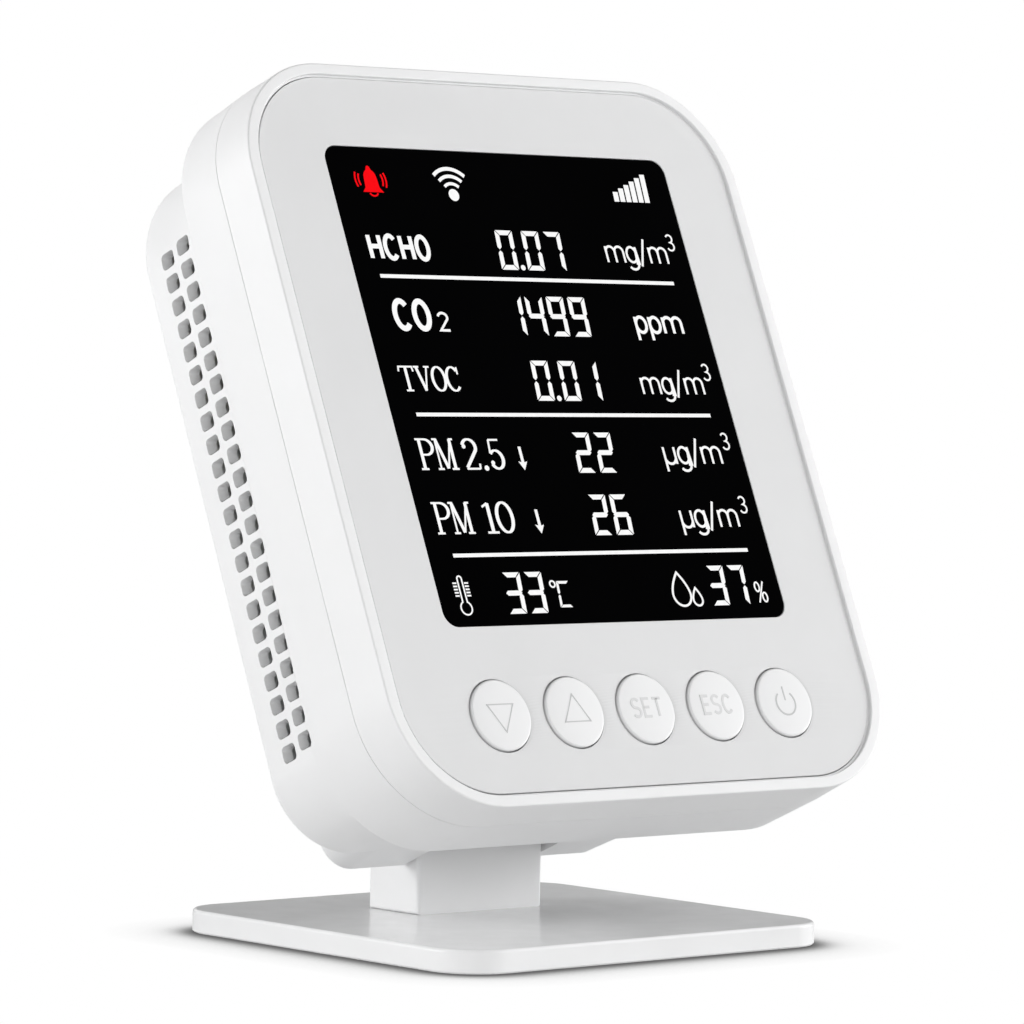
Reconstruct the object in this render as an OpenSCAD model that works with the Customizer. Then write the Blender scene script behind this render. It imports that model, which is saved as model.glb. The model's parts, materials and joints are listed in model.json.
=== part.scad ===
// Desktop carbon dioxide monitor: a tilting display housing on a weighted stand.
//
// World frame: origin on the table under the middle of the base, +Z up, the face looks towards -Y.
// Housing frame (inside in_housing): x across, y = depth behind the face plate, z up the face,
// with its origin at the centre of the front of the face plate.

/* [Housing] */
// Width across the housing
body_w = 100; // [99:1:103]
// Height of the housing, measured up its face
body_h = 120; // [119:1:123]
// Corner radius of the housing outline
corner_r = 18.2; // [16:0.1:19]
// Wall thickness of the moulded casings
wall = 2; // [1.8:0.1:2.2]
// How far the rim stands proud of the face plate
rim_proud = 0.6; // [0.5:0.1:0.9]
// Width of the rim at the sides of the face plate
rim_w = 2.45; // [2.3:0.05:2.6]
// Width of the rim above and below the face plate
rim_h = 2.1; // [2:0.05:2.4]
// Depth of the parting line between front and rear casing
parting_depth = 7.5; // [7.4:0.1:8]
// Depth at which the full outline steps in to the rear bulge
shoulder_depth = 17.8; // [16.8:0.1:18]
// Depth of the back of the rear bulge
back_depth = 29.6; // [29:0.1:30]
// How far the rear bulge is set in at each side
bulge_inset = 0.3; // [0.1:0.1:0.5]
// Top of the rear bulge above the face centre
bulge_top = 54.1; // [53:0.1:56]
// Bottom of the rear bulge below the face centre
bulge_bottom = 56.4; // [55.5:0.1:57.5]
// Corner radius at the bottom of the rear bulge
bulge_low_r = 11.7; // [8:0.1:13]

/* [Face] */
// Thickness of the face plate
plate_t = 1.6; // [1.4:0.1:1.8]
// Width of the display window
display_w = 69.2; // [67:0.1:70]
// Height of the display window
display_h = 77.5; // [76:0.1:78]
// Centre of the display above the face centre
display_up = 7.3; // [7:0.1:8]
// Corner radius of the display window
display_r = 3; // [1:0.5:5]

/* [Buttons] */
// Radius of a button cap
button_r = 5.53; // [5:0.01:5.6]
// Distance between neighbouring buttons
button_pitch = 14.38; // [13.8:0.01:15]
// Row of buttons, below the face centre
button_drop = 45.5; // [45:0.1:46.5]
// Gap around a button cap
button_gap = 0.22; // [0.15:0.01:0.3]
// Height of a cap above the face plate
button_proud = 0.45; // [0.3:0.05:0.9]

/* [Vents] */
// Rows of holes in each side wall
vent_rows = 22; // [10:1:22]
// Distance between rows
vent_pitch = 3.774; // [3.6:0.01:3.78]
// Length of a hole, front to back
vent_l = 3.1; // [2:0.1:3.2]
// Height of a hole
vent_h = 2.6; // [1.5:0.1:2.7]
// Corner radius of a hole
vent_r = 0.7; // [0.3:0.1:0.7]
// Top row above the face centre
vent_top = 37.75; // [36:0.05:38]
// Depth of the front column of holes
vent_depth = 19.6; // [19.4:0.1:20]
// Distance between the two columns
vent_gap = 4.2; // [4:0.1:4.4]
// How far the rear column sits lower
vent_stagger = 0.6; // [0:0.1:1]

/* [Hinge] */
// Lean of the face back from upright
tilt = 23.64; // [15:0.01:30]
// Height of the hinge pin above the table
pivot_z = 34; // [33:0.5:36]
// Depth of the hinge pin behind the face plate
pivot_depth = 41.25; // [41:0.05:41.6]
// Hinge pin below the face centre
pivot_drop = 31.53; // [31:0.05:32]
// Radius of the hinge pin
pin_r = 2; // [1.6:0.1:2.2]
// Depth of the back of the hinge housing
hinge_back = 48; // [47.8:0.1:49]
// Half width of the hinge housing at its back
hinge_half = 28.3; // [28:0.1:29]
// Half width of the hinge housing where it meets the rear casing
hinge_root_half = 31.3; // [30:0.1:32]
// Top of the hinge housing, below the face centre
hinge_top = 13; // [12:0.5:14]
// Bottom of the hinge housing, below the face centre
hinge_bottom = 53.6; // [53:0.1:54.5]
// Corner radius of the hinge housing
hinge_r = 4.8; // [4:0.1:5]

/* [Stand] */
// Width of the base
base_w = 75.1; // [74:0.1:80]
// Depth of the base
base_d = 70.7; // [70:0.1:76]
// Height of the top of the base
base_t = 3.7; // [3.6:0.1:4.2]
// Corner radius of the base
base_r = 8; // [7:0.5:12]
// Width of the stem
stem_w = 25.44; // [24:0.02:25.6]
// Thickness of the stem, front to back
stem_t = 12.1; // [11.5:0.1:12.3]
// Middle of the stem behind the middle of the base
stem_y = 11.47; // [10:0.01:13]

/* [Hidden] */

$fn = 64;
hull_fn = 32;      // facets of a circle inside a hull
cut = 1;           // how far a cutter runs past the face it opens
running = 0.05;    // radial clearance of a part that turns or slides
snug = 0.1;        // gap between moulded parts that nest
seam = 0.05;       // gap between faces that meet

// depths of the stack inside the housing
shelf_back = 3.4;
window_back = 1;
lcd_front = 1.1;
lcd_back = 3.5;
frame_front = 3.55;
frame_back = 7;
board_front = 9.6;
board_back = 11.2;
parts_front = board_back + snug;

// casing joint
tongue_front = 6.2;
tongue_back = 9.8;
tongue_t = 1.2;
boss_back = 9.4;

// fasteners
screw_r = 1.1;
pilot_r = screw_r + running;
hole_r = 1.3;
head_r = 2.3;
head_h = 1.5;
casing_head_depth = 25;
casing_spots = [[-40, 44], [40, 44], [-40, -50.5], [40, -50.5]];
board_spots = [[-40, 36], [40, 36], [-40, -39], [40, -39]];
hinge_spots = [[-21, -21], [21, -21], [-21, -47], [21, -47]];
stem_screw_x = 7;

// buttons
flange_front = plate_t + seam;
flange_back = 2.5;
flange_r = 6.3;
pocket_r = 6.5;
finger_r = 1.8;
plunger_r = 1.5;
plunger_front = 5;
plunger_back = 7.9;
switch_front = 6.2;
switch_w = 6;

// hinge
channel_half = 13.3;
channel_front = 34.5;
channel_mouth = 39.3;
channel_rise = 7.5;
channel_bend = 1.5;
cheek_t = 2.2;
pin_boss_r = 4.5;
pin_boss_out = 19;
washer_r = 5.5;
clip_r = 3.6;
clip_t = 0.7;
groove_r = 1.6;
pin_half = 20.6;

// stand
pad_t = 0.8;
pad_proud = 0.15;
ballast_top = 2.3;
stem_screw_r = 1.45;
stem_screw_top = 14;

// particle sensor and its fan
sensor_x = 24;
sensor_z = 12;
sensor_w = 38;
sensor_h = 35;
sensor_wall = 1.2;
sensor_back = 23.3;
fan_x = 31;
fan_blades = 9;
fan_r = 8.6;
fan_hub_r = 3.4;
fan_front = 13.6;
fan_rear = 20.6;
fan_pin_r = 0.75;

// usb port in the right-hand wall
port_depth = 12.85;
port_z = -22;
port_w = 9;
port_t = 3.2;

white = [0.95, 0.95, 0.95];
steel = [0.72, 0.73, 0.75];
black = [0.05, 0.05, 0.06];
circuit_green = [0.05, 0.32, 0.16];

// ---------------------------------------------------------------- helpers

// Rounded rectangle about the origin
module round_rect(w, h, r) {
  square([w - 2 * r, h], center = true);
  square([w, h - 2 * r], center = true);
  for (sx = [-1, 1], sy = [-1, 1])
    translate([sx * (w / 2 - r), sy * (h / 2 - r)])
      circle(r = r);
}

// Rounded outline with its own radius at the top and at the bottom
module tall_rect(w, top, bottom, top_r, bottom_r) {
  translate([-w / 2, -bottom + bottom_r])
    square([w, top + bottom - top_r - bottom_r]);
  translate([-w / 2 + top_r, -bottom + bottom_r])
    square([w - 2 * top_r, top + bottom - bottom_r]);
  translate([-w / 2 + bottom_r, -bottom])
    square([w - 2 * bottom_r, bottom]);
  for (sx = [-1, 1]) {
    translate([sx * (w / 2 - top_r), top - top_r])
      circle(r = top_r);
    translate([sx * (w / 2 - bottom_r), -bottom + bottom_r])
      circle(r = bottom_r);
  }
}

// Moves its children from the housing frame to their place on the stand
module in_housing() {
  translate([0, stem_y, pivot_z])
    rotate([-tilt, 0, 0])
      translate([0, -pivot_depth, pivot_drop])
        children();
}

// Extrudes an outline drawn on the face through the depth
module slab(front, back) {
  translate([0, back, 0])
    rotate([90, 0, 0])
      linear_extrude(height = back - front)
        children();
}

// Extrudes an outline of depth and height across the housing
module across(width) {
  rotate([90, 0, 90])
    linear_extrude(height = width, center = true)
      children();
}

// Round rod along the depth
module rod(x, z, front, back, r) {
  translate([x, back, z])
    rotate([90, 0, 0])
      cylinder(h = back - front, r = r);
}

// Round rod across the housing, between two places along x
module cross_rod(from, to, y, z, r) {
  translate([from, y, z])
    rotate([0, 90, 0])
      cylinder(h = to - from, r = r);
}

// Square block on the rear of the circuit board
module block(x, z, w, h, front, back) {
  slab(front, back)
    translate([x, z])
      square([w, h], center = true);
}

// Screw with a cross recess; its head points along +y
module screw(x, z, tip, seat, r, cap_r, cap_h) {
  slot_w = cap_r * 0.35;
  slot_l = cap_r * 1.2;
  difference() {
    union() {
      rod(x, z, tip, seat, r);
      rod(x, z, seat, seat + cap_h, cap_r);
    }
    block(x, z, slot_w, slot_l, seat + cap_h / 2, seat + cap_h + cut);
    block(x, z, slot_l, slot_w, seat + cap_h / 2, seat + cap_h + cut);
  }
}

// ---------------------------------------------------------------- stand

// Soft sheet that the stand rests on
module base_pad() {
  color([0.16, 0.16, 0.17])
    linear_extrude(height = pad_t)
      round_rect(base_w - 5, base_d - 5, base_r - 2.5);
}

// Moulded foot, hollowed from below for the pad and the ballast
module base_plate() {
  color(white)
    difference() {
      translate([0, 0, pad_proud])
        linear_extrude(height = base_t - pad_proud)
          round_rect(base_w, base_d, base_r);
      translate([0, 0, -cut])
        linear_extrude(height = pad_t + cut)
          round_rect(base_w - 4.6, base_d - 4.6, base_r - 2.3);
      linear_extrude(height = ballast_top)
        round_rect(base_w - 10.6, base_d - 12.2, 3);
      for (sx = [-1, 1])
        translate([sx * stem_screw_x, stem_y, 0])
          cylinder(h = base_t + cut, r = stem_screw_r + 0.15);
    }
}

// Steel plate that keeps the stand from tipping
module ballast_plate() {
  color(steel)
    difference() {
      translate([0, 0, pad_t + seam])
        linear_extrude(height = ballast_top - pad_t - 2 * seam)
          round_rect(base_w - 11, base_d - 12.6, 2.8);
      for (sx = [-1, 1])
        translate([sx * stem_screw_x, stem_y, 0])
          cylinder(h = base_t, r = 3.2);
    }
}

// Upright block with a rounded top around the hinge pin
module stem() {
  color(white)
    difference() {
      union() {
        translate([-stem_w / 2, stem_y - stem_t / 2, base_t])
          cube([stem_w, stem_t, pivot_z - base_t]);
        cross_rod(-stem_w / 2, stem_w / 2, stem_y, pivot_z, stem_t / 2);
      }
      cross_rod(-stem_w, stem_w, stem_y, pivot_z, pin_r + 0.02);
      for (sx = [-1, 1])
        translate([sx * stem_screw_x, stem_y, base_t - cut])
          cylinder(h = stem_screw_top - base_t + 2 * cut, r = stem_screw_r + running);
    }
}

// Two screws that hold the stem from below
module stem_screws() {
  color(steel)
    for (sx = [-1, 1])
      translate([sx * stem_screw_x, stem_y, 0])
        difference() {
          union() {
            translate([0, 0, pad_t + 2 * seam])
              cylinder(h = ballast_top - pad_t - 2 * seam, r = 2.8);
            translate([0, 0, ballast_top])
              cylinder(h = stem_screw_top - ballast_top, r = stem_screw_r);
          }
          translate([-1.6, -0.4, 0])
            cube([3.2, 0.8, pad_t + 0.8]);
          translate([-0.4, -1.6, 0])
            cube([0.8, 3.2, pad_t + 0.8]);
        }
}

// Steel pin, grooved near both ends for its clips
module hinge_pin() {
  color(steel)
    translate([0, stem_y, pivot_z])
      difference() {
        cross_rod(-pin_half, pin_half, 0, 0, pin_r);
        for (sx = [-1, 1])
          translate([sx * (pin_boss_out + 2 * seam + clip_t / 2), 0, 0])
            rotate([0, 90, 0])
              difference() {
                cylinder(h = clip_t + 0.1, r = pin_r + cut, center = true);
                cylinder(h = clip_t + 1, r = groove_r, center = true);
              }
      }
}

// Open clips that keep the pin in place
module pin_clips() {
  color(steel)
    translate([0, stem_y, pivot_z])
      for (sx = [-1, 1])
        translate([sx * (pin_boss_out + 2 * seam + clip_t / 2), 0, 0])
          rotate([0, 90, 0])
            difference() {
              cylinder(h = clip_t, r = clip_r, center = true);
              cylinder(h = clip_t + cut, r = groove_r + 0.02, center = true);
              translate([0, -groove_r * 0.8, -clip_t])
                cube([clip_r + cut, groove_r * 1.6, 2 * clip_t]);
            }
}

// Washers that give the hinge its drag
module friction_washers() {
  washer_t = channel_half - stem_w / 2 - 2 * seam;
  color([0.85, 0.82, 0.72])
    for (sx = [-1, 1])
      translate([sx * (stem_w / 2 + seam + washer_t / 2), stem_y, pivot_z])
        rotate([0, 90, 0])
          difference() {
            cylinder(h = washer_t, r = washer_r, center = true);
            cylinder(h = washer_t + cut, r = pin_r + running, center = true);
          }
}

// ---------------------------------------------------------------- front of the housing

// Front shell: rim, side wall, the shelf behind the face plate and the screw bosses
module front_casing() {
  color(white)
    in_housing()
      difference() {
        union() {
          difference() {
            slab(-rim_proud, parting_depth)
              round_rect(body_w, body_h, corner_r);
            slab(-rim_proud - cut, plate_t)
              round_rect(body_w - 2 * rim_w, body_h - 2 * rim_h, corner_r - rim_w);
            slab(shelf_back, parting_depth + cut)
              round_rect(body_w - 2 * wall, body_h - 2 * wall, corner_r - wall);
            slab(plate_t - cut, shelf_back + cut)
              translate([0, display_up])
                square([display_w + 2 * snug, display_h + 2 * snug], center = true);
            for (i = [-2:2])
              rod(i * button_pitch, -button_drop, plate_t - cut, shelf_back + cut, pocket_r);
          }
          for (p = board_spots)
            rod(p[0], p[1], shelf_back - seam, board_front, 2.5);
          for (p = casing_spots)
            rod(p[0], p[1], shelf_back - seam, boss_back, 2.4);
        }
        for (p = board_spots)
          rod(p[0], p[1], 5, board_front + cut, pilot_r);
        for (p = casing_spots)
          rod(p[0], p[1], 5, boss_back + cut, pilot_r);
      }
}

// Flat front panel with the display opening and five button holes
module face_plate() {
  color([0.93, 0.93, 0.93])
    in_housing()
      difference() {
        slab(0, plate_t)
          round_rect(body_w - 2 * rim_w - 2 * snug, body_h - 2 * rim_h - 2 * snug,
                     corner_r - rim_w - snug);
        slab(-cut, plate_t + cut)
          translate([0, display_up])
            round_rect(display_w + 2 * snug, display_h + 2 * snug, display_r + snug);
        for (i = [-2:2])
          rod(i * button_pitch, -button_drop, -cut, plate_t + cut, button_r + button_gap);
      }
}

// Dark tinted pane over the display
module display_window() {
  color([0.02, 0.02, 0.02])
    in_housing()
      slab(0, window_back)
        translate([0, display_up])
          round_rect(display_w, display_h, display_r);
}

// Liquid crystal glass
module lcd_panel() {
  color(black)
    in_housing()
      slab(lcd_front, lcd_back)
        translate([0, display_up])
          round_rect(display_w - 4 * snug, display_h - 4 * snug, display_r);
}

// Light guide behind the glass
module lcd_backlight() {
  color([0.9, 0.92, 0.95])
    in_housing()
      slab(frame_front + seam, 5.6)
        translate([0, display_up])
          round_rect(66, 74, 1.5);
}

// Tray that carries the light guide and stands on the circuit board
module lcd_frame() {
  color(black)
    in_housing()
      union() {
        difference() {
          slab(frame_front, frame_back)
            translate([0, display_up])
              round_rect(72, 81.2, 2);
          slab(frame_front - cut, frame_back - 1.1)
            translate([0, display_up])
              round_rect(66.4, 74.4, 1.7);
        }
        for (sx = [-1, 1], sz = [-1, 1])
          rod(sx * 30, display_up + sz * 35, frame_back - seam, board_front - seam, 1.5);
      }
}

// Flat flexible lead from the glass down to the board
module lcd_ribbon() {
  ribbon_t = 0.1;
  start_z = display_up - display_h / 2 + snug;
  bend_z = start_z - 3.9;
  color([0.75, 0.45, 0.12])
    in_housing()
      across(24)
        polygon([
          [shelf_back + 0.02, start_z], [shelf_back + 0.02 + ribbon_t, start_z],
          [shelf_back + 0.02 + ribbon_t, bend_z + ribbon_t],
          [board_front - 0.02, bend_z + ribbon_t],
          [board_front - 0.02, bend_z - 4], [board_front - 0.02 - ribbon_t, bend_z - 4],
          [board_front - 0.02 - ribbon_t, bend_z], [shelf_back + 0.02, bend_z]
        ]);
}

// ---------------------------------------------------------------- electronics

// Circuit board, narrowed at the top and bottom to pass the casing screws
module main_board() {
  color(circuit_green)
    in_housing()
      difference() {
        union() {
          slab(board_front, board_back)
            translate([0, -1.5])
              round_rect(86, 83, 2);
          slab(board_front, board_back)
            translate([0, -2.25])
              round_rect(71, 97.5, 2);
        }
        for (p = board_spots)
          rod(p[0], p[1], board_front - cut, board_back + cut, hole_r);
      }
}

// Processor, coils and capacitors on the rear of the board
module board_components() {
  color(black)
    in_housing() {
      block(2, -16, 9, 9, parts_front, 12.4);
      block(13, -22, 5, 5, parts_front, 14.3);
      block(-24, -20, 6, 4, parts_front, 12.9);
      rod(14, -13, parts_front, 17.5, 2.5);
      rod(20.5, -13, parts_front, 17.5, 2.5);
      rod(-24, 40, parts_front, 16.5, 2);
    }
}

// Screws that hold the board to the front casing
module board_screws() {
  color(steel)
    in_housing()
      for (p = board_spots)
        screw(p[0], p[1], 6, board_back, screw_r, head_r, head_h);
}

// One press switch behind each button
module tact_switches() {
  color(black)
    in_housing()
      for (i = [-2:2])
        difference() {
          block(i * button_pitch, -button_drop, switch_w, switch_w, switch_front, board_front - 0.02);
          rod(i * button_pitch, -button_drop, switch_front - cut, 9, plunger_r + running);
        }
}

// Infrared gas cell
module co2_sensor() {
  color([0.83, 0.66, 0.25])
    in_housing()
      difference() {
        slab(parts_front, 20.3)
          translate([-22, 22])
            round_rect(33, 20, 2);
        slab(19.8, 20.3 + cut)
          translate([-26, 22])
            round_rect(14.2, 8.2, 1.1);
      }
}

// Porous membrane that lets air into the gas cell
module co2_filter() {
  color([0.96, 0.96, 0.94])
    in_housing()
      slab(19.85, 20.6)
        translate([-26, 22])
          round_rect(14, 8, 1);
}

// Electrochemical cell in a round can
module formaldehyde_sensor() {
  color([0.85, 0.85, 0.82])
    in_housing()
      difference() {
        union() {
          rod(-33, -8, parts_front, 20, 7.5);
          rod(-33, -8, 20, 22, 5.5);
        }
        rod(-33, -8, 21, 22 + cut, 2.5);
      }
}

// Metal-oxide gas sensor in a small can
module voc_sensor() {
  color(steel)
    in_housing()
      union() {
        rod(-14, -6, parts_front, 12.3, 4.6);
        rod(-14, -6, 12.3, 17.2, 4);
      }
}

// Temperature and humidity sensor near the vents
module temp_humidity_sensor() {
  color([0.92, 0.92, 0.9])
    in_housing()
      difference() {
        block(-38, -26, 8, 9, parts_front, 14.6);
        for (i = [-1:1])
          block(-38, -26 + 2.4 * i, 5, 1.2, 13.6, 14.6 + cut);
      }
}

// Open box of the laser particle sensor
module particle_sensor_case() {
  floor_depth = parts_front + sensor_wall;
  lid_depth = sensor_back - sensor_wall;
  color(steel)
    in_housing()
      difference() {
        union() {
          difference() {
            block(sensor_x, sensor_z, sensor_w, sensor_h, parts_front, lid_depth);
            block(sensor_x, sensor_z, sensor_w - 2 * sensor_wall, sensor_h - 2 * sensor_wall,
                  floor_depth, lid_depth + cut);
          }
          rod(fan_x, sensor_z, floor_depth - seam, fan_front - snug, 2);
        }
        block(sensor_x + sensor_w / 2, sensor_z - 8, 4, 8, floor_depth + 2, lid_depth - 2);
        rod(fan_x, sensor_z, floor_depth - 0.4, fan_front, fan_pin_r + 0.01);
      }
}

// Lid of the particle sensor, open over the fan
module particle_sensor_lid() {
  color(steel)
    in_housing()
      difference() {
        block(sensor_x, sensor_z, sensor_w, sensor_h, sensor_back - sensor_wall + 0.02, sensor_back);
        rod(fan_x, sensor_z, sensor_back - 2 * sensor_wall, sensor_back + cut, 7.5);
      }
}

// Pin that the fan turns on
module fan_shaft() {
  color(steel)
    in_housing()
      rod(fan_x, sensor_z, parts_front + sensor_wall - 0.35, fan_rear + 0.6, fan_pin_r);
}

// Fan that draws air past the laser
module fan_rotor() {
  color(black)
    in_housing()
      difference() {
        union() {
          rod(fan_x, sensor_z, fan_front, fan_rear, fan_hub_r);
          for (i = [0:fan_blades - 1])
            translate([fan_x, fan_rear, sensor_z])
              rotate([90, i * 360 / fan_blades, 0])
                translate([fan_hub_r - 0.5, -0.4, 0])
                  cube([fan_r - fan_hub_r + 0.5, 0.8, fan_rear - fan_front]);
        }
        rod(fan_x, sensor_z, fan_front - cut, fan_rear + cut, fan_pin_r + running);
      }
}

// Round alarm sounder
module buzzer() {
  color(black)
    in_housing()
      difference() {
        rod(29, -22, parts_front, 17.4, 6);
        rod(29, -22, 15, 17.4 + cut, 1.2);
      }
}

// Radio module under its shield
module wireless_module() {
  color(steel)
    in_housing()
      union() {
        block(10, 38, 25.5, 12.5, parts_front, 12.2);
        block(7, 38, 17, 11, 12.2, 14.2);
      }
}

// Charging socket with its contact tongue
module usb_port() {
  color(steel)
    in_housing()
      difference() {
        translate([43.7, 0, 0])
          across(10)
            translate([port_depth, port_z])
              round_rect(port_t, port_w, 1.4);
        translate([45, 0, 0])
          across(10)
            difference() {
              translate([port_depth, port_z])
                round_rect(port_t - 0.7, port_w - 0.7, 1.1);
              translate([port_depth, port_z])
                square([0.7, port_w - 2.4], center = true);
            }
      }
}

// Rechargeable cell
module battery() {
  color([0.7, 0.72, 0.76])
    in_housing()
      slab(parts_front, 18.4)
        translate([-8, -38])
          round_rect(44, 21, 2);
}

// Leads from the cell to its plug
module battery_leads() {
  for (i = [-1, 1])
    color(i > 0 ? [0.75, 0.08, 0.06] : black)
      in_housing()
        cross_rod(14.02, 17.48, 14, -38 + 1.2 * i, 0.55);
}

// Plug and socket for the cell
module battery_connector() {
  color([0.93, 0.93, 0.9])
    in_housing()
      block(21, -38, 7, 6, parts_front, 16);
}

// ---------------------------------------------------------------- rear of the housing

// Outline of the holes in a side wall, as depth and height
module vent_outline() {
  for (column = [0, 1], row = [0:vent_rows - 1])
    translate([vent_depth + column * vent_gap, vent_top - row * vent_pitch - column * vent_stagger])
      round_rect(vent_l, vent_h, vent_r);
}

// Rear shell: wall, stepped back, vents in both sides, socket opening and screw columns
module rear_casing() {
  bulge_w = body_w - 2 * bulge_inset;
  color(white)
    in_housing()
      difference() {
        union() {
          difference() {
            union() {
              slab(tongue_front, parting_depth + seam)
                round_rect(body_w - 2 * wall - 2 * snug, body_h - 2 * wall - 2 * snug,
                           corner_r - wall - snug);
              slab(parting_depth, shoulder_depth)
                round_rect(body_w, body_h, corner_r);
              slab(shoulder_depth - seam, back_depth)
                tall_rect(bulge_w, bulge_top, bulge_bottom, corner_r, bulge_low_r);
            }
            slab(tongue_front - cut, tongue_back)
              round_rect(body_w - 2 * wall - 2 * tongue_t, body_h - 2 * wall - 2 * tongue_t,
                         corner_r - wall - tongue_t);
            slab(tongue_back - seam, shoulder_depth - wall)
              round_rect(body_w - 2 * wall, body_h - 2 * wall, corner_r - wall);
            slab(shoulder_depth - wall - seam, back_depth - wall)
              tall_rect(bulge_w - 2 * wall, bulge_top - wall, bulge_bottom - wall,
                        corner_r - wall, bulge_low_r - wall);
            across(body_w + 2 * cut)
              vent_outline();
            translate([body_w / 2, 0, 0])
              across(6 * wall)
                translate([port_depth, port_z])
                  round_rect(port_t + 0.5, port_w + 0.5, 1.6);
          }
          for (p = casing_spots)
            rod(p[0], p[1], boss_back + 2 * seam, back_depth - wall + seam, 3.2);
        }
        for (p = casing_spots) {
          rod(p[0], p[1], boss_back, back_depth + cut, hole_r);
          rod(p[0], p[1], casing_head_depth, back_depth + cut, head_r + 0.3);
        }
        for (p = hinge_spots)
          rod(p[0], p[1], back_depth - wall - cut, back_depth + cut, hole_r);
      }
}

// Screws that close the two casings
module casing_screws() {
  color(steel)
    in_housing()
      for (p = casing_spots)
        screw(p[0], p[1], 6, casing_head_depth, screw_r, head_r, head_h);
}

// Outline of the hinge housing for a given half width
module hinge_outline(half) {
  translate([0, -(hinge_top + hinge_bottom) / 2])
    for (sx = [-1, 1], sz = [-1, 1])
      translate([sx * (half - hinge_r), sz * ((hinge_bottom - hinge_top) / 2 - hinge_r)])
        circle(r = hinge_r, $fn = hull_fn);
}

// Side view of the slot for the stem, as depth and height; its front leans with the upright limit
module channel_outline() {
  polygon([
    [channel_front, channel_rise - pivot_drop],
    [channel_front, -pivot_drop - channel_bend],
    [channel_mouth, -hinge_bottom],
    [channel_mouth, -hinge_bottom - cut],
    [hinge_back + cut, -hinge_bottom - cut],
    [hinge_back + cut, channel_rise - pivot_drop]
  ]);
}

// Tapered housing on the back, slotted from below for the stem
module hinge_housing() {
  inside_w = 2 * (hinge_half - cheek_t);
  pocket_w = hinge_half - cheek_t - channel_half - cheek_t;
  pocket_x = channel_half + cheek_t + pocket_w / 2;
  inside_h = hinge_bottom - hinge_top - 2 * cheek_t;
  middle_z = -(hinge_bottom + hinge_top) / 2;
  plate_skin = 0.2;
  color(white)
    in_housing()
      difference() {
        union() {
          difference() {
            hull() {
              slab(back_depth, back_depth + plate_skin)
                hinge_outline(hinge_root_half);
              slab(hinge_back - plate_skin, hinge_back)
                hinge_outline(hinge_half);
            }
            block(0, middle_z, inside_w, inside_h, back_depth - cut, channel_front - cheek_t);
            for (sx = [-1, 1])
              block(sx * pocket_x, middle_z, pocket_w, inside_h,
                    channel_front - cheek_t - seam, hinge_back - cheek_t);
            across(2 * channel_half)
              channel_outline();
          }
          for (sx = [-1, 1])
            cross_rod(min(sx * channel_half, sx * pin_boss_out), max(sx * channel_half, sx * pin_boss_out),
                      pivot_depth, -pivot_drop, pin_boss_r);
          for (p = hinge_spots)
            rod(p[0], p[1], back_depth, hinge_back - cheek_t + seam, 3);
        }
        cross_rod(-pin_boss_out - cut, pin_boss_out + cut, pivot_depth, -pivot_drop, pin_r + running);
        for (p = hinge_spots)
          rod(p[0], p[1], back_depth - cut, 38, pilot_r);
      }
}

// Screws that hold the hinge housing from inside the rear casing
module hinge_screws() {
  color(steel)
    in_housing()
      for (p = hinge_spots)
        translate([p[0], 0, p[1]])
          mirror([0, 1, 0])
            screw(0, 0, -37.5, -(back_depth - wall), screw_r, head_r, head_h);
}

// ---------------------------------------------------------------- buttons

// Cap, retaining flange and finger of the button at one place in the row
module button(place) {
  color([0.96, 0.96, 0.96])
    in_housing()
      union() {
        rod(place * button_pitch, -button_drop, -button_proud, flange_front, button_r);
        rod(place * button_pitch, -button_drop, flange_front, flange_back, flange_r);
        rod(place * button_pitch, -button_drop, flange_back, plunger_front - 0.02, finger_r);
      }
}

// Moving pin of the switch at one place in the row
module plunger(place) {
  color([0.9, 0.9, 0.86])
    in_housing()
      rod(place * button_pitch, -button_drop, plunger_front, plunger_back, plunger_r);
}

// ---------------------------------------------------------------- nodes

base_pad();
base_plate();
ballast_plate();
stem();
stem_screws();
hinge_pin();
pin_clips();
friction_washers();
front_casing();
face_plate();
display_window();
lcd_panel();
lcd_backlight();
lcd_frame();
lcd_ribbon();
main_board();
board_components();
board_screws();
tact_switches();
co2_sensor();
co2_filter();
formaldehyde_sensor();
voc_sensor();
temp_humidity_sensor();
particle_sensor_case();
particle_sensor_lid();
fan_shaft();
fan_rotor();
buzzer();
wireless_module();
usb_port();
battery();
battery_leads();
battery_connector();
rear_casing();
casing_screws();
hinge_housing();
hinge_screws();
button(-2);  // button_down
button(-1);  // button_up
button(0);  // button_set
button(1);  // button_escape
button(2);  // button_power
plunger(-2);  // plunger_down
plunger(-1);  // plunger_up
plunger(0);  // plunger_set
plunger(1);  // plunger_escape
plunger(2);  // plunger_power
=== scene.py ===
"""Looks of the tilting air monitor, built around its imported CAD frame."""

import json
import math

import bmesh
import bpy
from mathutils import Euler, Matrix, Vector


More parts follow.
